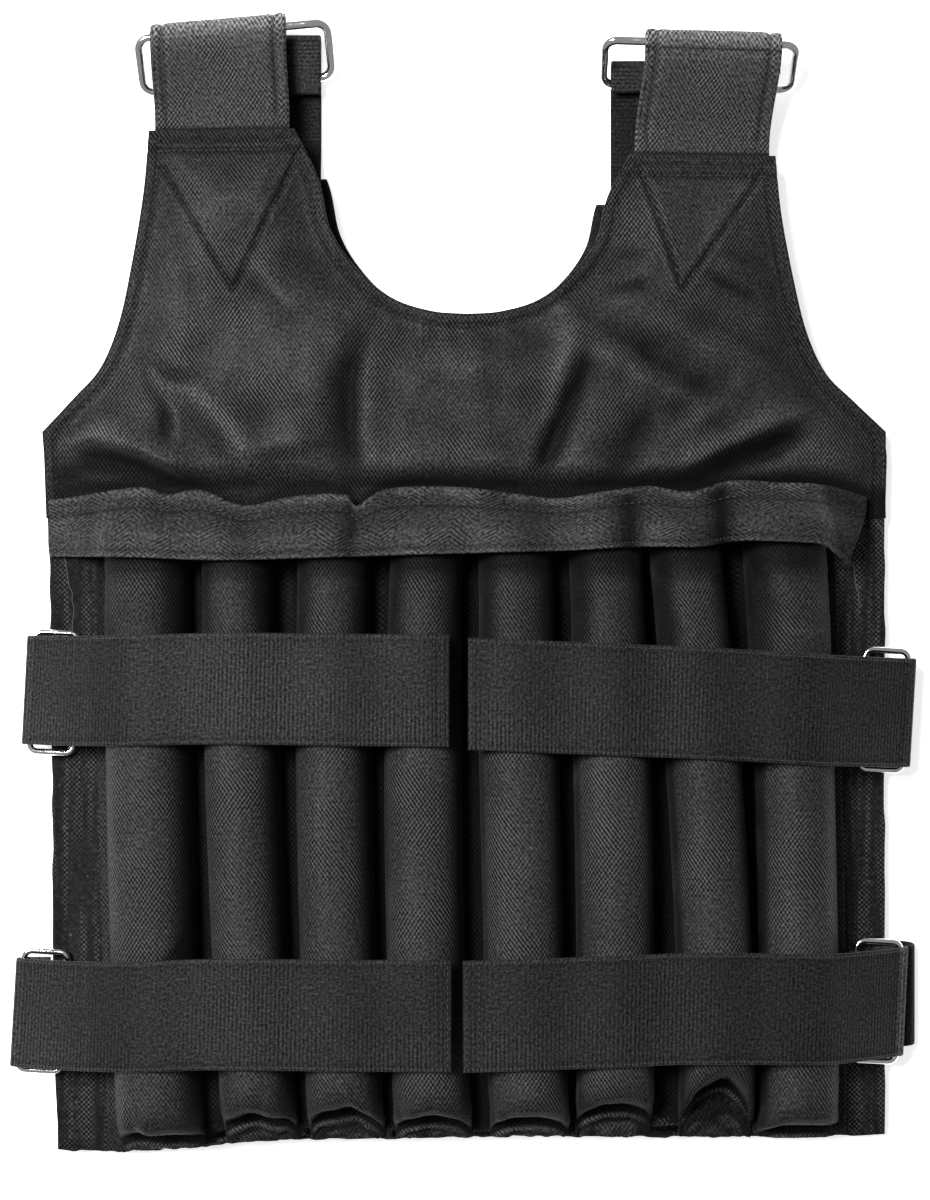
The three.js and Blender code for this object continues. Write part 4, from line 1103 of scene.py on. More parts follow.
def pocket_arch(index, along, lift, drawn_in, steps, scale=1.0, lying=False):
    """Points of a sleeve's arch over the front panel at one share of its length, and their angles."""
    middle = pocket_middle(index, along)
    narrow = 1 + POCKETS[index]["open"] * smooth(along, 0.7, 0.9)
    half = (POCKET_WIDTH * POCKETS[index]["wide"] * narrow / 2 - drawn_in) * scale
    angle = math.pi * (1 - np.arange(steps + 1) / steps)
    across = half * np.sign(np.cos(angle)) * np.abs(np.cos(angle)) ** ROUND_ACROSS
    y = pocket_y(along) + drawn_up(middle + across, pocket_y(along))
    slope = (front_top(middle + 1, y) - front_top(middle - 1, y)) / 2
    norm = np.hypot(slope, 1)
    above = above_arch(index, y, np.cos(angle))
    rise = np.interp(along, *zip(*POCKET_RISE)) * np.interp(above, *zip(*FOOT_RISE))
    height = (POCKET_HEIGHT - drawn_in) * rise * scale
    up = height * np.maximum(0, np.sin(angle)) ** ROUND_UP * (0 if lying else 1)
    points = np.column_stack([
        middle + across - slope * up / norm,
        y,
        front_top(middle + across, y) + lift + up / norm,
    ])
    return points, angle


def pocket_sheet():
    """The one cloth that is sewn down in eight sleeves, with a flange at each side."""
    lift = SEAT + POCKET_CLOTH / 2
    steps = 40
    length = POCKET_TOP - POCKET_FOOT
    stations = np.concatenate([
        np.arange(0, 42, 0.9), np.arange(42, length - 30, 3.6), np.arange(length - 30, length + 0.1, 1.6),
    ])
    stations, fill_rows = rim(np.append(stations[stations < length - 1], length), POCKET_CLOTH / 2)
    rows, sides = [], []
    for station in stations:
        along = station / length
        row, kind = [], []
        for index in range(len(POCKETS)):
            points, angle = pocket_arch(index, along, lift, 0, steps)
            row.append(points)
            kind.append(np.column_stack([np.full(steps + 1, index), angle]))
        first, last = row[0][0], row[-1][-1]
        left = np.array([[first[0] - out, first[1], 0] for out in FLANGE_PLACES])
        right = np.array([[last[0] + out, last[1], 0] for out in FLANGE_PLACES[::-1]])
        for flange in (left, right):
            flange[:, 1] = pocket_y(along) + drawn_up(flange[:, 0], pocket_y(along))
            flange[:, 2] = front_top(flange[:, 0], flange[:, 1]) + lift
        rows.append(np.vstack([left, *row, right]))
        sides.append(np.vstack([np.full((6, 2), -1.0), *kind, np.full((6, 2), -1.0)]))
    grid, sides = np.array(rows), np.array(sides)
    gaps = np.linalg.norm(np.diff(grid, axis=1), axis=2)
    across = np.concatenate([np.zeros((len(grid), 1)), np.cumsum(gaps, axis=1)], axis=1)
    middle_run = across[len(grid) // 2]
    down = np.cumsum(np.linalg.norm(np.diff(grid, axis=0, prepend=grid[:1]), axis=2), axis=0)
    waist = len(grid) // 2
    height = down - down[waist] + grid[waist, :, 1]
    flat = np.stack([np.broadcast_to(middle_run, across.shape), height], axis=2)
    grid = grid + grid_normals(grid) * pocket_wrinkles(grid, flat, sides)[..., None]
    painted_light_and_tone = pocket_painted_light(grid, flat, sides)
    fill_cols = np.ones(grid.shape[1])
    fill_cols[[0, -1]] = 0
    fill_cols[[1, -2]] = 0.8
    return cloth("pocket_cloth", grid, flat, POCKET_CLOTH, fill_rows, fill_cols, MATERIALS["oxford"],
                 ["pocket_sheet"], painted_light_and_tone)


def pocket_wrinkles(grid, flat, sides):
    """How far the sleeves' cloth stands out from its plain arch."""
    s, y = flat[..., 0], grid[..., 1]
    index, angle = sides[..., 0], sides[..., 1]
    on_arch = index >= 0
    up = np.where(on_arch, np.sin(np.clip(angle, 0, math.pi)), 0)
    out = 0.45 * noise(s, y * 0.45, 22, 20) * up + 0.18 * noise(s, y * 0.6, 7, 21) * up
    for number in range(len(POCKETS)):
        here = index == number
        above = above_arch(number, y, np.cos(angle))
        crumpled = 1.3 * noise(s * 0.4, above, 3.2, 30 + number) + 0.8 * noise(s, y, 2.2, 50 + number)
        out += np.where(here, crumpled * (1 - smooth(above, -9.5, -8)), 0)
        creased = 0.8 * noise(s, above * 0.5, 6, 70 + number) * smooth(above, 0, 3)
        out += np.where(here, creased * (1 - smooth(above, 6, 24)), 0)
        mouth = y - (POCKET_TOP - 17 - 3 * math.sin(1.3 * number))
        hem = 0.8 * smooth(mouth, -0.6, 0.9) - 0.55 * peak(mouth, -3.6, 1.0)
        out += np.where(here, hem * up, 0)
    return out


def pocket_painted_light(grid, flat, sides):
    """Painted shade and painted highlights of the sleeves' cloth: painted shade on their flanks and between
    them, painted shadow under the band, painted shade under the arches of their feet and in the first
    sleeve's dent, a darker hem band, painted highlights along hems, and random tone.
    """
    y, index, angle = grid[..., 1], sides[..., 0], sides[..., 1]
    across = np.where(index >= 0, np.cos(np.clip(angle, 0, math.pi)), 1)
    # Painted shade on the sleeves' flanks, most on their right ones, and on the flanges
    flank = np.maximum(0.88 * smooth(across, 0.5, 1), 0.95 * smooth(-across, 0.84, 0.97))
    flank = np.where(index >= 0, flank, 0.35)
    mouth = smooth(y, 236, 256)
    ragged = 0.08 * noise(flat[..., 0], y, 9, 96)
    flank = np.maximum(flank, mouth * 0.72 * smooth(np.abs(across) + ragged, 0.34, 0.8))
    # Painted shadow under the band
    shade = 0.3 * mouth + 0.62 * smooth(y, 286, 299)
    below = np.zeros(y.shape)
    for number, pocket in enumerate(POCKETS):
        above = above_arch(number, y, across)
        # Painted shade under each arch and below it, a darker hem band, and a painted highlight on the
        # arch's edge
        dark = 0.9 * smooth(above, -7.6, -6.8) * (1 - smooth(above, 2.5, 10))
        dark = np.maximum(dark, 0.5 * (1 - smooth(above, 1, 19)) * smooth(above, -1, 1))
        void_shadow = smooth(above, -10 - pocket["void_shadow"], -9 - pocket["void_shadow"])
        dark += 0.85 * void_shadow * (1 - smooth(above, -9, -8.5))
        hem = (0.62 + 0.42 * noise(flat[..., 0] * 0.5, y, 3.4, 97)) * (1 - smooth(above, -10, -8.9))
        painted_highlight = -0.3 * (1 + noise(flat[..., 0], 0 * y, 9, 88)) * peak(above, -8, 0.6)
        below = np.where(index == number, np.clip(np.maximum(dark, hem) + painted_highlight, -0.5, 0.95), below)
    below = np.where(index < 0, 0.3 * (1 - smooth(y, 12, 20)), below)
    # Painted shade of a dent in the first sleeve
    beyond = grid[..., 0] - np.interp(y, *zip(*SLEEVE_DENT_SHADE))
    dent_shade = 0.78 * smooth(beyond, -0.5, 4) * smooth(y, 80, 100) * (1 - smooth(y, 142, 170))
    below = np.where(index == 0, np.maximum(below, dent_shade), below)
    # Painted highlights along the hems at the mouths
    painted_highlight = np.zeros(y.shape)
    for line in MOUTH_HIGHLIGHTS:
        begun = smooth(across, line["left"] - 0.05, line["left"] + 0.05)
        ended = smooth(across, line["right"] - 0.05, line["right"] + 0.05)
        on = (index == line["sleeve"]) * begun * (1 - ended)
        painted_highlight += 0.7 * peak(y, line["height"] - line["bow"] * (1 - across**2), 0.9) * on
    painted_highlight += (index == 7) * 0.5 * peak(across, 0.86, 0.04)
    tone_and_shade = 0.04 + 0.08 * noise(flat[..., 0], y, 13, 98) + 0.05 * noise(flat[..., 0], y, 5, 99)
    return 1 - (1 - flank) * (1 - shade) * (1 - below) * (1 - tone_and_shade) * (1 + painted_highlight)


def weight_bag(index):
    """A closed bag that fills a sleeve under its cloth."""
    drawn_in = POCKET_CLOTH / 2 + BAG_CLEARANCE
    length = POCKET_TOP - POCKET_FOOT
    start, end = BAG_FOOT / length, 1 - BAG_MOUTH / length
    round_end = [(0, 0.5), (0.006, 0.66), (0.016, 0.82), (0.03, 0.94), (0.05, 1)]
    stations = [(start + at, scale) for at, scale in round_end]
    stations += [(at, 1) for at in np.linspace(0.24, 0.9, 14)]
    stations += [(end - at, scale) for at, scale in round_end[::-1]]
    upper, lower = [], []
    for along, scale in stations:
        top, _ = pocket_arch(index, along, SEAT, drawn_in, 16, scale)
        base, _ = pocket_arch(index, along, SEAT, drawn_in, 16, scale, lying=True)
        upper.append(top)
        lower.append(base)
    upper, lower = np.array(upper), np.array(lower)
    grid = (upper + lower) / 2
    rows, cols = grid.shape[:2]
    index_up = np.arange(rows * cols).reshape(rows, cols)
    index_low = index_up + rows * cols
    index_low[:, 0], index_low[:, -1] = index_up[:, 0], index_up[:, -1]
    faces = []
    for i in range(rows - 1):
        for j in range(cols - 1):
            corners = [(i, j), (i, j + 1), (i + 1, j + 1), (i + 1, j)]
            faces.append([index_up[corner] for corner in corners])
            faces.append([index_low[corner] for corner in [corners[0], *corners[:0:-1]]])
    faces.append([*index_up[0], *index_low[0, 1:-1][::-1]][::-1])
    faces.append([*index_up[-1], *index_low[-1, 1:-1][::-1]])
    points = np.concatenate([upper.reshape(-1, 3), lower.reshape(-1, 3)])
    used = np.unique(np.concatenate([np.asarray(face) for face in faces]))
    again = np.full(len(points), -1)
    again[used] = np.arange(len(used))
    bag = make_piece(
        f"weight_bag_{index + 1}_canvas", points[used], [again[np.asarray(face)] for face in faces],
        MATERIALS["canvas"], points[used][:, :2], [f"weight_bag_{index + 1}"],
    )


# Band over the sleeves' mouths

def sleeve_crest(x, sag, along=1):
    """Height of the sleeves' row at places across, sagging between two sleeves."""
    middles = [pocket_middle(i, along) for i in range(len(POCKETS))]
    inside = np.clip(x, middles[0], middles[-1])
    away = np.min([np.abs(inside - middle) for middle in middles], axis=0)
    valley = (1 - np.cos(2 * math.pi * away / POCKET_PITCH)) / 2
    return POCKET_HEIGHT * (1 - sag * valley)


def flap_grid(us, vs):
    """Middle of the band's cloth: us runs along it in shares and vs from its top edge to its foot."""
    u, v = np.meshgrid(us, vs)
    left, right = -HALF_PANEL + 1, lerp(FLAP_END_TOP, FLAP_END_FOOT, smooth(v, 0.1, 1))
    x = lerp(left, right, u)
    y = lerp(np.interp(x, *curve(FLAP_TOP, 6).T), np.interp(x, *curve(FLAP_FOOT, 6).T), v)
    first, last = pocket_middle(0, 1), pocket_middle(len(POCKETS) - 1, 1)
    end_left = smooth(x, left + 4, first - POCKET_WIDTH / 3)
    end_right = smooth(x, last + 4, 208)
    crest = sleeve_crest(x, FLAP_SAG) + POCKET_CLOTH + FLAP_THICKNESS + 2 * SEAT
    high = lerp(11.0, crest, smooth(v, 0.05, 0.68))
    rise = high * end_left * (1 - 0.55 * end_right)
    rest = SEAT + CHEST_THICKNESS + SEAT + FLAP_THICKNESS / 2 + 0.5
    z = front_top(x, y) + np.maximum(rest, rise)
    swell = 2.2 * np.sin(x * 0.105 + 1.1) * peak(v, 0, 0.34)
    swell += 1.3 * np.sin(x * 0.23 + 0.4) * peak(v, 0, 0.3)
    for at, width, depth in FLAP_DIPS:
        z = z - depth * peak(x, at, width) * smooth(v, 0.02, 0.4) * (1 - 0.5 * v)
    z = z + swell * end_left * (1 - end_right) + 0.35 * noise(x, y, 9, 41)
    z = z - 0.8 * peak(v, FLAP_SEAM, 0.035) + 1.3 * peak(v, 0.06, 0.05)
    z = z - 0.5 * peak(v, FLAP_SELVEDGE, 0.03) + 0.5 * noise(x, y, 5, 42) * smooth(-v, -0.45, -0.1)
    return np.stack([x, y, z], axis=2)


def flap_painted_light(grid, v):
    """Painted shade and painted highlights of the band: painted shade in its dips, along its stitches and
    at its folded right end; painted highlights along its top and lower edges, at the edge of its fold and
    over part of its right half; and random tone.
    """
    x = grid[..., 0]
    deep = np.zeros(x.shape)
    for at, width, depth in FLAP_DIPS:
        deep = np.maximum(deep, depth / 6.2 * peak(x, at, width) * smooth(v, -0.1, 0.2))
    rows = 0.6 * peak(v, FLAP_SEAM, 0.035) + 0.35 * peak(v, 0.9, 0.03)
    end = 0.55 * smooth(x - 6 * v, 176, 181) + 0.12 * smooth(x, 140, 160)
    painted_highlight = -0.6 * peak(v, 0.05, 0.06) * (0.7 + 0.5 * noise(x, 0 * x, 14, 43))
    painted_highlight += -0.3 * peak(v, 0.975, 0.03) - 0.3 * peak(x - 6 * v, 173.5, 1.6)
    painted_highlight += -0.16 * smooth(x, 10, 40) * (1 - smooth(x, 100, 150)) + 0.16 * noise(x, 12 * v, 22, 44) + 0.05
    return 1 - (1 - deep) * (1 - rows) * (1 - end) * (1 - painted_highlight)


def pocket_flap():
    """The band over the sleeves' mouths, with its two rows of stitches."""
    vs, fill_rows = rim(np.linspace(0, FLAP_DROP, 26), FLAP_THICKNESS / 2)
    us, fill_cols = rim(np.linspace(0, FLAP_RUN, 300), FLAP_THICKNESS / 2)
    down = vs / FLAP_DROP
    grid = flap_grid(us / FLAP_RUN, down)
    flat = np.stack(np.meshgrid(us, -vs), axis=2)
    painted_light_and_tone = flap_painted_light(grid, np.broadcast_to(down[:, None], grid.shape[:2]))
    piece = cloth("twill_band", grid[::-1], flat[::-1], FLAP_THICKNESS, fill_rows[::-1], fill_cols,
                  MATERIALS["band"], ["pocket_flap"], painted_light_and_tone[::-1])
    across = range(3, grid.shape[1] - 3)
    upper, lower = nearest(down, FLAP_SEAM), nearest(down, FLAP_SELVEDGE)
    stitches("band_stitches", [grid_run(grid, [(upper, col) for col in across], FLAP_THICKNESS, -1)])
    stitches("band_selvedge", [grid_run(grid, [(lower, col) for col in across], FLAP_THICKNESS, -1)],
             pitch=1.9, length=1.3, width=0.6, rise=0.2)


# Straps and rings of the sides

def taut_over(points):
    """The points that a line touches when it is pulled tight over them."""
    hull = []
    for point in points:
        while len(hull) > 1:
            a, b = hull[-2], hull[-1]
            if (b[0] - a[0]) * (point[1] - a[1]) - (b[1] - a[1]) * (point[0] - a[0]) < 0:
                break
            hull.pop()
        hull.append(point)
    return np.array(hull)


def side_ring_place(strap):
    """Places across of a ring's outer and inner wires, and its height over the tab and the strap's end."""
    wire = SIDE_WIRE / 2
    outer = strap["fold"] - STRAP_THICKNESS - SEAT - wire
    inner = outer - SIDE_RING_WIDTH
    under_return = float(front_top(outer - STRAP_RETURN, strap["side"])) + 2 * SEAT + STRAP_THICKNESS
    under_tab = float(front_top(inner, strap["side"]))
    return outer, inner, max(under_return, under_tab) + SEAT + TAB_THICKNESS + SEAT + wire


def strap_line(strap, offset, xs):
    """Height of a waist strap's middle at places across, for one line along it."""
    outer, inner, level = side_ring_place(strap)
    wrap = SIDE_WIRE / 2 + SEAT + STRAP_THICKNESS / 2
    shear = math.tan(math.radians(strap["turn"]))
    fold = outer + strap["sign"] * shear * offset
    along = (strap["side"] + offset - POCKET_FOOT) / (POCKET_TOP - POCKET_FOOT)
    clear = POCKET_CLOTH / 2 + STRAP_LIFT + STRAP_THICKNESS / 2
    points = np.concatenate([
        pocket_arch(i, along, SEAT + POCKET_CLOTH / 2, -clear, 24)[0] for i in range(len(POCKETS))
    ])
    run = np.column_stack([strap["sign"] * points[:, 0], points[:, 2]])
    run = run[(run[:, 0] > strap["start"]) & (run[:, 0] < inner)]
    run = run[np.argsort(run[:, 0])]
    first = run[run[:, 0] < POCKET_PITCH][:, 1].max()
    hull = taut_over([(strap["start"], first), *run, (fold, level + wrap)])
    z = np.interp(xs, hull[:, 0], hull[:, 1])
    crest = sleeve_crest(strap["sign"] * xs, 1, along) / POCKET_HEIGHT
    sag = np.where(xs < inner, STRAP_SAG * (1 - crest), 0)
    return fold, z - sag


def strap_cloth(name, rows, offsets, fill_rows, thickness, material, nodes, relief=None, painted_light_and_tone=None):
    """A strap from one path along it for each place across it."""
    run = np.mean([run_along(row) for row in rows], axis=0)
    places, fill_cols = rim(run, thickness / 2, 1.4)
    grid = np.array([places_at(places, run, row) for row in rows])
    flat = np.stack(np.meshgrid(places, offsets), axis=2)
    if relief is not None:
        grid = grid + grid_normals(grid) * relief(grid, flat)[..., None]
    # Painted shade, painted highlights and random tone of each point
    painted_light_values = painted_light_and_tone(grid, flat) if painted_light_and_tone is not None else None
    # The oxford cloth's warp runs across a strap
    weave = flat[..., ::-1] if material is MATERIALS["oxford"] else flat
    piece = cloth(name, grid, weave, thickness, fill_rows, fill_cols, material, nodes, painted_light_values)
    return grid, flat


def folded_end(fold, level, wrap, tail, steps):
    """Places and heights of a strap from the top of its fold round a wire and back under itself."""
    angle = np.pi * (0.5 - np.arange(1, steps + 1) / steps)
    back = np.linspace(0, tail, 8)[1:]
    return (np.concatenate([fold + wrap * np.cos(angle), fold - back]),
            np.concatenate([level + wrap * np.sin(angle), 0 * back + level - wrap]))


def waist_strap(name, strap):
    """A strap from its sewn end over the sleeves and round its ring, with its stitches."""
    _, _, level = side_ring_place(strap)
    wrap = SIDE_WIRE / 2 + SEAT + STRAP_THICKNESS / 2
    offsets, fill_rows = rim(np.linspace(-STRAP_WIDTH / 2, STRAP_WIDTH / 2, 34), STRAP_THICKNESS / 2)
    shares = np.linspace(0, 1, 110)
    kernel = np.hanning(9) / np.hanning(9).sum()
    rows = []
    for offset in offsets:
        fold = strap_line(strap, offset, np.array([0.0]))[0]
        xs = lerp(strap["start"], fold, shares)
        z = strap_line(strap, offset, xs)[1]
        z = np.convolve(np.pad(z, 4, mode="edge"), kernel, mode="valid")
        y = lerp(strap["sewn"], strap["side"], shares) - strap["droop"] * smooth(shares, 0.45, 1)
        y += offset
        bent, heights = folded_end(fold, level, wrap, STRAP_RETURN, 12)
        rows.append(np.column_stack([
            strap["sign"] * np.concatenate([xs, bent]),
            np.concatenate([y, 0 * bent + y[-1]]),
            np.concatenate([z, heights]),
        ]))

    def relief(grid, flat):
        near_ring = smooth(-np.abs(grid[..., 0]), -205, -190)
        wave = 0.3 * noise(flat[..., 0], flat[..., 1] * 0.4, 26, 50 + len(name))
        return wave * smooth(flat[..., 0], 8, 30) * near_ring * strap["sign"]

    def painted_light_and_tone(grid, flat):
        # Painted shade along the rows of stitches at the end and by the edges; painted highlights along the
        # edges, on the fold and at the left straps' outer ends; and random tone
        edge = STRAP_WIDTH / 2 - np.abs(flat[..., 1])
        folded = np.abs(grid[..., 0]) - np.abs(grid[..., 0]).max(axis=1, keepdims=True)
        ends = 0.5 * sum(peak(flat[..., 0], at, 1.1) for at in STRAP_END_ROWS)
        ends = np.maximum(ends, 0.32 * peak(edge, 3, 0.9))
        painted_highlight = 0.3 * (1 - smooth(edge, 0.5, 2.2)) + strap["wear_and_painted_light"] * peak(folded, -2.2, 1.0)
        painted_highlight += 0.28 * (1 - smooth(grid[..., 0], -196, -184)) + 0.3 * peak(grid[..., 0], -189, 1.6)
        tone = 0.1 * noise(flat[..., 0], flat[..., 1], 31, 60 + len(name))
        tone += 0.07 * noise(flat[..., 0], flat[..., 1], 8, 61)
        return 1 - (1 - ends) * (1 + painted_highlight) * (1 - tone)

    grid, flat = strap_cloth(f"waist_webbing_{name}", rows, offsets, fill_rows, STRAP_THICKNESS,
                             MATERIALS["webbing"], [f"waist_strap_{name}"], relief, painted_light_and_tone)
    side = strap["sign"]
    upper = range(5, int(np.argmax(np.abs(grid[0, :, 0]))) - 4)
    selvedge = STRAP_WIDTH / 2 - SELVEDGE_IN
    edges = [nearest(offsets, at) for at in (-selvedge, selvedge)]
    ends = [nearest(flat[0, :, 0], at) for at in STRAP_END_ROWS]
    inside = range(edges[0], edges[1] + 1)
    stitches(f"waist_stitches_{name}", [
        grid_run(grid, [(row, col) for row in inside], STRAP_THICKNESS, side) for col in ends
    ], pitch=3.2)
    stitches(f"waist_selvedge_{name}", [
        grid_run(grid, [(row, col) for col in upper], STRAP_THICKNESS, side) for row in edges
    ], pitch=2.07, length=1.5, width=0.7, rise=0.25)


def ring_tab(name, strap):
    """A loop from the back panel's edge round the front's to the inner wire of a side ring."""
    _, inner, level = side_ring_place(strap)
    half = TAB_THICKNESS / 2
    wrap = SIDE_WIRE / 2 + SEAT + half
    shear = math.tan(math.radians(strap["turn"]))
    clear = SEAT + half
    sewn = PANEL_THICKNESS + clear
    middle = FRONT_LIFT + PANEL_THICKNESS / 2
    bulge, corner = max(clear + 1, strap["tab"]), max(clear + 1, strap["tab"] * 0.8)

    def over(x):
        return float(front_top(x, strap["side"])) + clear

    knots = [
        (HALF_PANEL - TAB_SEWN, sewn), (HALF_PANEL - TAB_SEWN / 2, sewn), (HALF_PANEL + SEAT, sewn),
        (HALF_PANEL + corner, sewn + SEAT), (HALF_PANEL + bulge, middle - SEAT),
        (HALF_PANEL + corner, over(HALF_PANEL) - SEAT), (HALF_PANEL - SEAT, over(HALF_PANEL) + SEAT),
        (inner + TAB_LOOP_GAP, over(inner + TAB_LOOP_GAP)),
    ]
    first = curve(knots, 6)
    angle = -np.pi / 2 - np.pi * np.arange(13) / 12
    loop = np.column_stack([inner + wrap * np.cos(angle), level + wrap * np.sin(angle)])
    tail = np.column_stack([np.linspace(inner + 1.5, inner + 9, 5), np.full(5, level + wrap)])
    profile = np.vstack([first, loop, tail])
    lean = np.concatenate([np.zeros(len(first)), np.ones(len(loop) + len(tail))])
    slide = np.clip(np.arange(len(profile)) / (len(first) - 1), 0, 1)
    offsets, fill_rows = rim(np.linspace(-strap["tab_width"] / 2, strap["tab_width"] / 2, 24), half)
    rows = [np.column_stack([
        strap["sign"] * (profile[:, 0] + strap["sign"] * shear * offset * lean),
        strap["side"] - strap["droop"] * slide + offset, profile[:, 1],
    ]) for offset in offsets]
    strap_cloth(f"tab_webbing_{name}", rows, offsets, fill_rows, TAB_THICKNESS,
                MATERIALS["webbing"], [f"ring_tab_{name}"])


def shoulder_place(shoulder):
    """Seam, fold and ring of one shoulder."""
    inner, outer = seam_ends(shoulder)
    steep = math.radians(shoulder["steep"])
    wire = SHOULDER_WIRE / 2
    back_level = WEB_FLOOR + WEB_THICKNESS + SEAT + wire
    front_y = inner[1] + shoulder["reach"]
    middle = (inner[0] + outer[0]) / 2
    return {
        "inner": inner,
        "steep": steep,
        "back_level": back_level,
        "front_y": front_y,
        "front_level": back_level + SHOULDER_RING_DEPTH * math.sin(steep),
        "back_y": front_y - SHOULDER_RING_DEPTH * math.cos(steep),
        "middle": middle,
        "seam_share": (SHOULDER_LAP + SHOULDER_LEVEL) / (SHOULDER_LAP + shoulder["reach"]),
        "ring_middle": middle - shoulder["sign"] * (shoulder["shift"] - shoulder["lean"]),
    }


def front_shoulder_strap(name, shoulder):
    """A strap from under the chest's cloth over the front wire of its ring and back under itself."""
    at = shoulder_place(shoulder)
    half = SHOULDER_STRAP_THICKNESS / 2
    wrap = SHOULDER_WIRE / 2 + SEAT + half
    turn = math.tan(math.radians(shoulder["turn"]))
    start = at["inner"][1] - SHOULDER_LAP + SEAT
    shares = np.linspace(0, 1, 56)
    ease = smooth(shares, at["seam_share"], 1)
    offsets, fill_rows = rim(np.linspace(-SHOULDER_STRAP_WIDTH / 2, SHOULDER_STRAP_WIDTH / 2, 50), half)
    rows = []
    for across in offsets:
        x = at["middle"] + across + shoulder["sign"] * shoulder["lean"] * ease
        end = at["front_y"] + turn * across
        y = lerp(start, end, shares)
        low = front_top(x, np.minimum(y, SEAM_HEIGHT)) - half
        bent, heights = folded_end(end, at["front_level"], wrap, SHOULDER_RETURN, 14)
        edge = at["middle"] + across + shoulder["sign"] * shoulder["lean"]
        rows.append(np.column_stack([
            np.concatenate([x, 0 * bent + edge]),
            np.concatenate([y, bent]),
            np.concatenate([lerp(low, at["front_level"] + wrap, ease), heights]),
        ]))

    def relief(grid, flat):
        out = smooth(flat[..., 0], SHOULDER_LAP + 2, SHOULDER_LAP + 12)
        edge = SHOULDER_STRAP_WIDTH / 2 - np.abs(flat[..., 1])
        groove = -1.2 * peak(edge, SHOULDER_STITCH_IN, 1.1) - 0.3 * peak(edge, 1.8, 0.7)
        pucker = 0.4 * noise(flat[..., 0], flat[..., 1] * 0.3, 4.5, 70) * peak(edge, SHOULDER_STITCH_IN, 4)
        wave = 0.45 * noise(flat[..., 0], flat[..., 1], 17, 71 + shoulder["sign"])
        return -(groove + pucker + wave * smooth(edge, 2, 14)) * out

    def painted_light_and_tone(grid, flat):
        # Painted shade along the rows of stitches, a painted shadow where the strap comes out from under
        # the chest's cloth, a painted highlight on the fold, the strap paler all over and more so on the
        # right, and a dark line under the fold
        edge = SHOULDER_STRAP_WIDTH / 2 - np.abs(flat[..., 1])
        rows = 0.55 * peak(edge, SHOULDER_STITCH_IN, 1.4) * (0.8 + 0.4 * noise(flat[..., 0], edge, 4, 72))
        seam = 0.9 * (1 - smooth(grid[..., 1] - at["inner"][1], 0.6, 2.4))
        folded = grid[..., 1].max(axis=1, keepdims=True) - grid[..., 1]
        upper = flat[..., 0] < flat[0, int(np.argmax(grid[0, :, 1])), 0] + 1
        painted_highlight = shoulder["highlight_gain"] * (1 - smooth(folded, -1, 8.5)) + 1.3 * (1 - smooth(folded, 3, 17))
        painted_highlight *= upper
        painted_highlight += 0.26 + 0.18 * shoulder["sign"] + 0.08 * noise(flat[..., 0], flat[..., 1], 15, 73)
        ripple = 0.4 * noise(flat[..., 1], folded, 9, 75)
        seam = np.maximum(seam, shoulder["line"] * peak(folded - 8.3, ripple, 0.7))
        return 1 - (1 - rows) * (1 - seam) * (1 + painted_highlight)

    grid, flat = strap_cloth(f"shoulder_oxford_{name}", rows, offsets, fill_rows, SHOULDER_STRAP_THICKNESS,
                             MATERIALS["oxford"], [f"front_shoulder_strap_{name}"], relief, painted_light_and_tone)
    seen = range(int(np.argmax(flat[0, :, 0] > SHOULDER_LAP + 1)), int(np.argmax(grid[0, :, 1])))
    stitch_line = SHOULDER_STRAP_WIDTH / 2 - SHOULDER_STITCH_IN
    stitched = [nearest(offsets, at) for at in (-stitch_line, stitch_line)]
    stitches(f"shoulder_stitches_{name}", [
        grid_run(grid, [(row, col) for col in seen], SHOULDER_STRAP_THICKNESS, -1) for row in stitched
    ])


def back_shoulder_strap(name, shoulder):
    """Webbing from the back panel round the rear wire of a shoulder's ring, with its end turned back."""
    at = shoulder_place(shoulder)
    half = WEB_THICKNESS / 2
    seam_end = at["inner"][1] - BACK_DROP
    wrap = SHOULDER_WIRE / 2 + SEAT + half
    fold = at["back_y"] + shoulder["slack"]
    low, sewn = WEB_FLOOR + half, PANEL_THICKNESS + SEAT + half
    first = curve([
        (seam_end - WEB_SEWN, sewn), (seam_end - WEB_SEWN / 2, sewn), (seam_end + SEAT, sewn),
        (seam_end + WEB_SETTLE / 2, (sewn + low) / 2), (seam_end + WEB_SETTLE, low), (fold - WEB_RISE, low),
    ], 6)
    angle = -np.pi / 2 + np.pi * np.arange(13) / 12
    loop = np.column_stack([fold + wrap * np.cos(angle), at["back_level"] + wrap * np.sin(angle)])
    end = at["back_y"] - shoulder["tail"]
    tail = np.column_stack([np.linspace(fold, end, 9)[1:], np.full(8, at["back_level"] + wrap)])
    profile = np.vstack([first, loop, tail])
    inner = abs(at["ring_middle"]) - SHOULDER_RING_LENGTH / 2 + SHOULDER_WIRE / 2 + WEB_CLEAR
    offsets, fill_rows = rim(np.linspace(0, WEB_WIDTH, 30), half)
    rows = [np.column_stack([
        np.full(len(profile), shoulder["sign"] * (inner + offset)), profile[:, 0], profile[:, 1],
    ]) for offset in offsets]

    def painted_light_and_tone(grid, flat):
        # Painted shade on the low part of the webbing by the table, less where it rises to the ring, with
        # random tone
        return np.where(grid[..., 2] > 4, 0.1, 0.55) + 0.1 * noise(flat[..., 0], flat[..., 1], 12, 74)

    strap_cloth(f"back_webbing_{name}", rows, offsets, fill_rows, WEB_THICKNESS,
                MATERIALS["webbing"], [f"back_shoulder_strap_{name}"], None, painted_light_and_tone)


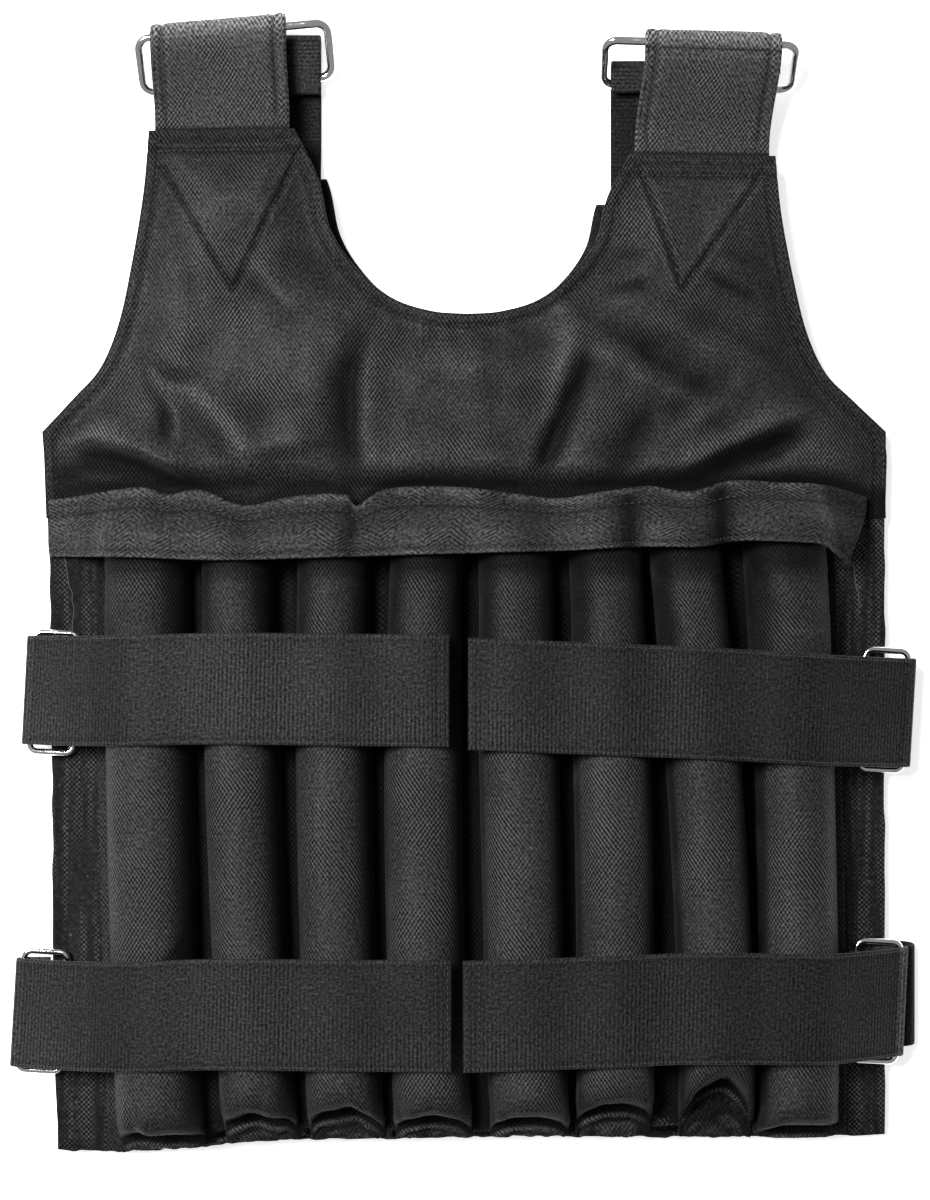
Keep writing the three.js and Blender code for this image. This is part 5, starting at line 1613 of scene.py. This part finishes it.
def wire_ring(name, node, length, depth, corner, wire, hung, turned, at):
    """A wire bent to a rectangle with round corners, hung off its pivot, turned and put in its place."""
    bpy.ops.object.select_all(action="DESELECT")
    bpy.ops.mesh.primitive_circle_add(
        vertices=16, radius=wire / 2 * MM, location=(length / 2 * MM, 0, 0), rotation=(math.pi / 2, 0, 0),
    )
    ring = bpy.context.object
    bpy.ops.object.transform_apply(location=True, rotation=True)
    bpy.ops.object.mode_set(mode="EDIT")
    bpy.ops.mesh.select_all(action="SELECT")
    x, y = length / 2 - corner, depth / 2 - corner
    runs = [
        ((0, y), (x, y)), ((-2 * x, 0), (-x, y)), ((0, -2 * y), (-x, -y)), ((2 * x, 0), (x, -y)),
        ((0, y), None),
    ]
    for (dx, dy), middle in runs:
        bpy.ops.mesh.extrude_region_move(TRANSFORM_OT_translate={"value": (dx * MM, dy * MM, 0)})
        if middle is not None:
            centre = (middle[0] * MM, middle[1] * MM, 0)
            bpy.ops.mesh.spin(steps=8, angle=-math.pi / 2, center=centre, axis=(0, 0, 1))
    bpy.ops.mesh.select_all(action="SELECT")
    bpy.ops.mesh.remove_doubles(threshold=1e-6)
    bpy.ops.mesh.normals_make_consistent(inside=False)
    bpy.ops.object.mode_set(mode="OBJECT")
    ring.name = ring.data.name = name
    ring.data.materials.append(MATERIALS["chrome"])
    ring.data.shade_smooth()
    ring.location = (0, hung * MM, 0)
    bpy.ops.object.transform_apply(location=True, rotation=True)
    ring.rotation_euler = turned
    ring.location = Vector(place(at))
    bpy.ops.object.transform_apply(location=True, rotation=True)
    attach(ring, "root")
    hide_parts(node)


def side_ring(name, strap):
    outer, inner, level = side_ring_place(strap)
    wire_ring(
        f"side_wire_{name}", f"side_ring_{name}",
        length=SIDE_RING_WIDTH, depth=STRAP_WIDTH + 2 * RING_SLACK + SIDE_WIRE,
        corner=SIDE_RING_CORNER, wire=SIDE_WIRE, hung=0, turned=(0, 0, -math.radians(strap["turn"])),
        at=(strap["sign"] * (outer + inner) / 2, strap["side"] - strap["droop"] + strap["slid"], level),
    )


def shoulder_ring(name, shoulder):
    at = shoulder_place(shoulder)
    wire_ring(
        f"shoulder_wire_{name}", f"shoulder_ring_{name}",
        length=SHOULDER_RING_LENGTH, depth=SHOULDER_RING_DEPTH,
        corner=SHOULDER_RING_CORNER, wire=SHOULDER_WIRE, hung=-SHOULDER_RING_DEPTH / 2,
        turned=(at["steep"], 0, math.radians(shoulder["turn"])),
        at=(at["ring_middle"], at["front_y"], at["front_level"]),
    )


# Pieces

def lining_painted_light(x, y):
    """Painted light and random tone of the front's lining: painted light makes its right side palest and
    its far left paler, and it is darker at its outer edges and near the hem.
    """
    tone = 0.15 + 0.2 * noise(x, y * 0.3, 11, 85)
    tone -= 0.55 * smooth(x, 150, 185) + 0.25 * (1 - smooth(x, -190, -175))
    tone += 0.25 * smooth(np.abs(x), 200, 207)
    return tone + 0.3 * (1 - smooth(y, 8, 30)) * (1 + noise(x, y, 9, 86))


panel("lined_back", panel_outline(BACK_DROP, BACK_NECK_MARGIN), lambda x, y: 0 * x + PANEL_THICKNESS,
      PANEL_THICKNESS, 5.0, MATERIALS["lining"], ["back_panel"])
panel("lined_front", panel_outline(SHOULDER_LAP, 0), front_top,
      PANEL_THICKNESS, 4.0, MATERIALS["lining"], ["front_panel"], lining_painted_light)
chest = panel("chest_oxford", CHEST_CUT, chest_top,
              CHEST_THICKNESS, 1.6, MATERIALS["oxford"], ["chest_cloth"], chest_painted_light)
pockets = pocket_sheet()
for number in range(len(POCKETS)):
    weight_bag(number)


def chest_runs():
    """Rows of stitches round the chest's edges, along its seams and down its two points."""
    edge = resampled(CHEST_OUTLINE, 1.5)
    runs = []
    for away in (STITCH_EDGE, STITCH_IN):
        line = inset(edge, away)
        top = np.where(line[:, 0] < 0, SEAM_HEIGHT, SEAM_HEIGHT - SHOULDERS["right"]["drop"])
        kept = (line[:, 1] > CHEST_BOTTOM + 16) & (line[:, 1] < top - 3)
        marks = np.flatnonzero(np.diff(kept.astype(int)))
        for part in np.split(np.arange(len(line)), marks + 1):
            if len(part) > 12 and kept[part[0]]:
                runs.append(run_on(chest_top, line[part]))
    for shoulder in SHOULDERS.values():
        inner, outer = seam_ends(shoulder)
        for below in SEAM_ROWS:
            y = inner[1] - below
            ends = sorted((inner[0] + shoulder["sign"] * 7, outer[0] - shoulder["sign"] * 5))
            runs.append(run_on(chest_top, [(ends[0], y), (ends[1], y)]))
    for line in VEES:
        runs.append(run_on(chest_top, line))
    return runs


def margin_runs():
    """Loose threads on the lining beside the sleeves."""
    runs = []
    for knots in MARGIN_THREADS:
        line = curve(knots, 8)
        line[:, 0] += 0.5 * noise(line[:, 1], 0 * line[:, 1], 4, 83)
        runs.append(run_on(front_top, line))
    return runs


stitches("chest_stitches", chest_runs())
stitches("margin_threads", margin_runs(), pitch=1.6, length=2.1, width=0.5, rise=0.2,
         material="pale_thread")
pocket_flap()
for name, strap in STRAPS.items():
    waist_strap(name, strap)
    ring_tab(name, strap)
    side_ring(name, strap)
for name, shoulder in SHOULDERS.items():
    front_shoulder_strap(name, shoulder)
    back_shoulder_strap(name, shoulder)
    shoulder_ring(name, shoulder)

# Camera straight above the vest, as for the photograph
camera = bpy.data.objects.new("camera", bpy.data.cameras.new("camera"))
bpy.context.scene.collection.objects.link(camera)
camera.data.sensor_width = FILM
camera.data.lens = FILM / 2 / HALF_VIEW
camera.location = Vector(place(CAMERA))
camera.rotation_euler = (0, 0, 0)
bpy.context.scene.camera = camera

# Pale table and soft light
bpy.ops.object.select_all(action="DESELECT")
bpy.ops.mesh.primitive_plane_add(size=6, location=(0, 0, 0))
table = bpy.context.object
table.name = "table"
white, _, surface = new_material("pale_table")
surface.inputs["Base Color"].default_value = (0.93, 0.93, 0.93, 1)
surface.inputs["Roughness"].default_value = 0.9
surface.inputs["Emission Color"].default_value = (1, 1, 1, 1)
surface.inputs["Emission Strength"].default_value = 0.65
table.data.materials.append(white)

world = bpy.data.worlds.new("studio")
bpy.context.scene.world = world
world.use_nodes = True
sky = world.node_tree.nodes["Background"]
sky.inputs["Color"].default_value = (1, 1, 1, 1)
sky.inputs["Strength"].default_value = 0.28

# Soft key light from the upper left
light = bpy.data.lights.new("key_upper_left", "AREA")
light.shape = "RECTANGLE"
light.size, light.size_y = 1.0, 1.0
light.energy = 185
key = bpy.data.objects.new("key_upper_left", light)
key.location = (-1.2, 0.75, 2.5)
key.rotation_mode = "QUATERNION"
key.rotation_quaternion = (Vector((0, 0, 0.03)) - key.location).to_track_quat("-Z", "Y")
bpy.context.scene.collection.objects.link(key)

bpy.context.scene.view_settings.view_transform = "Standard"
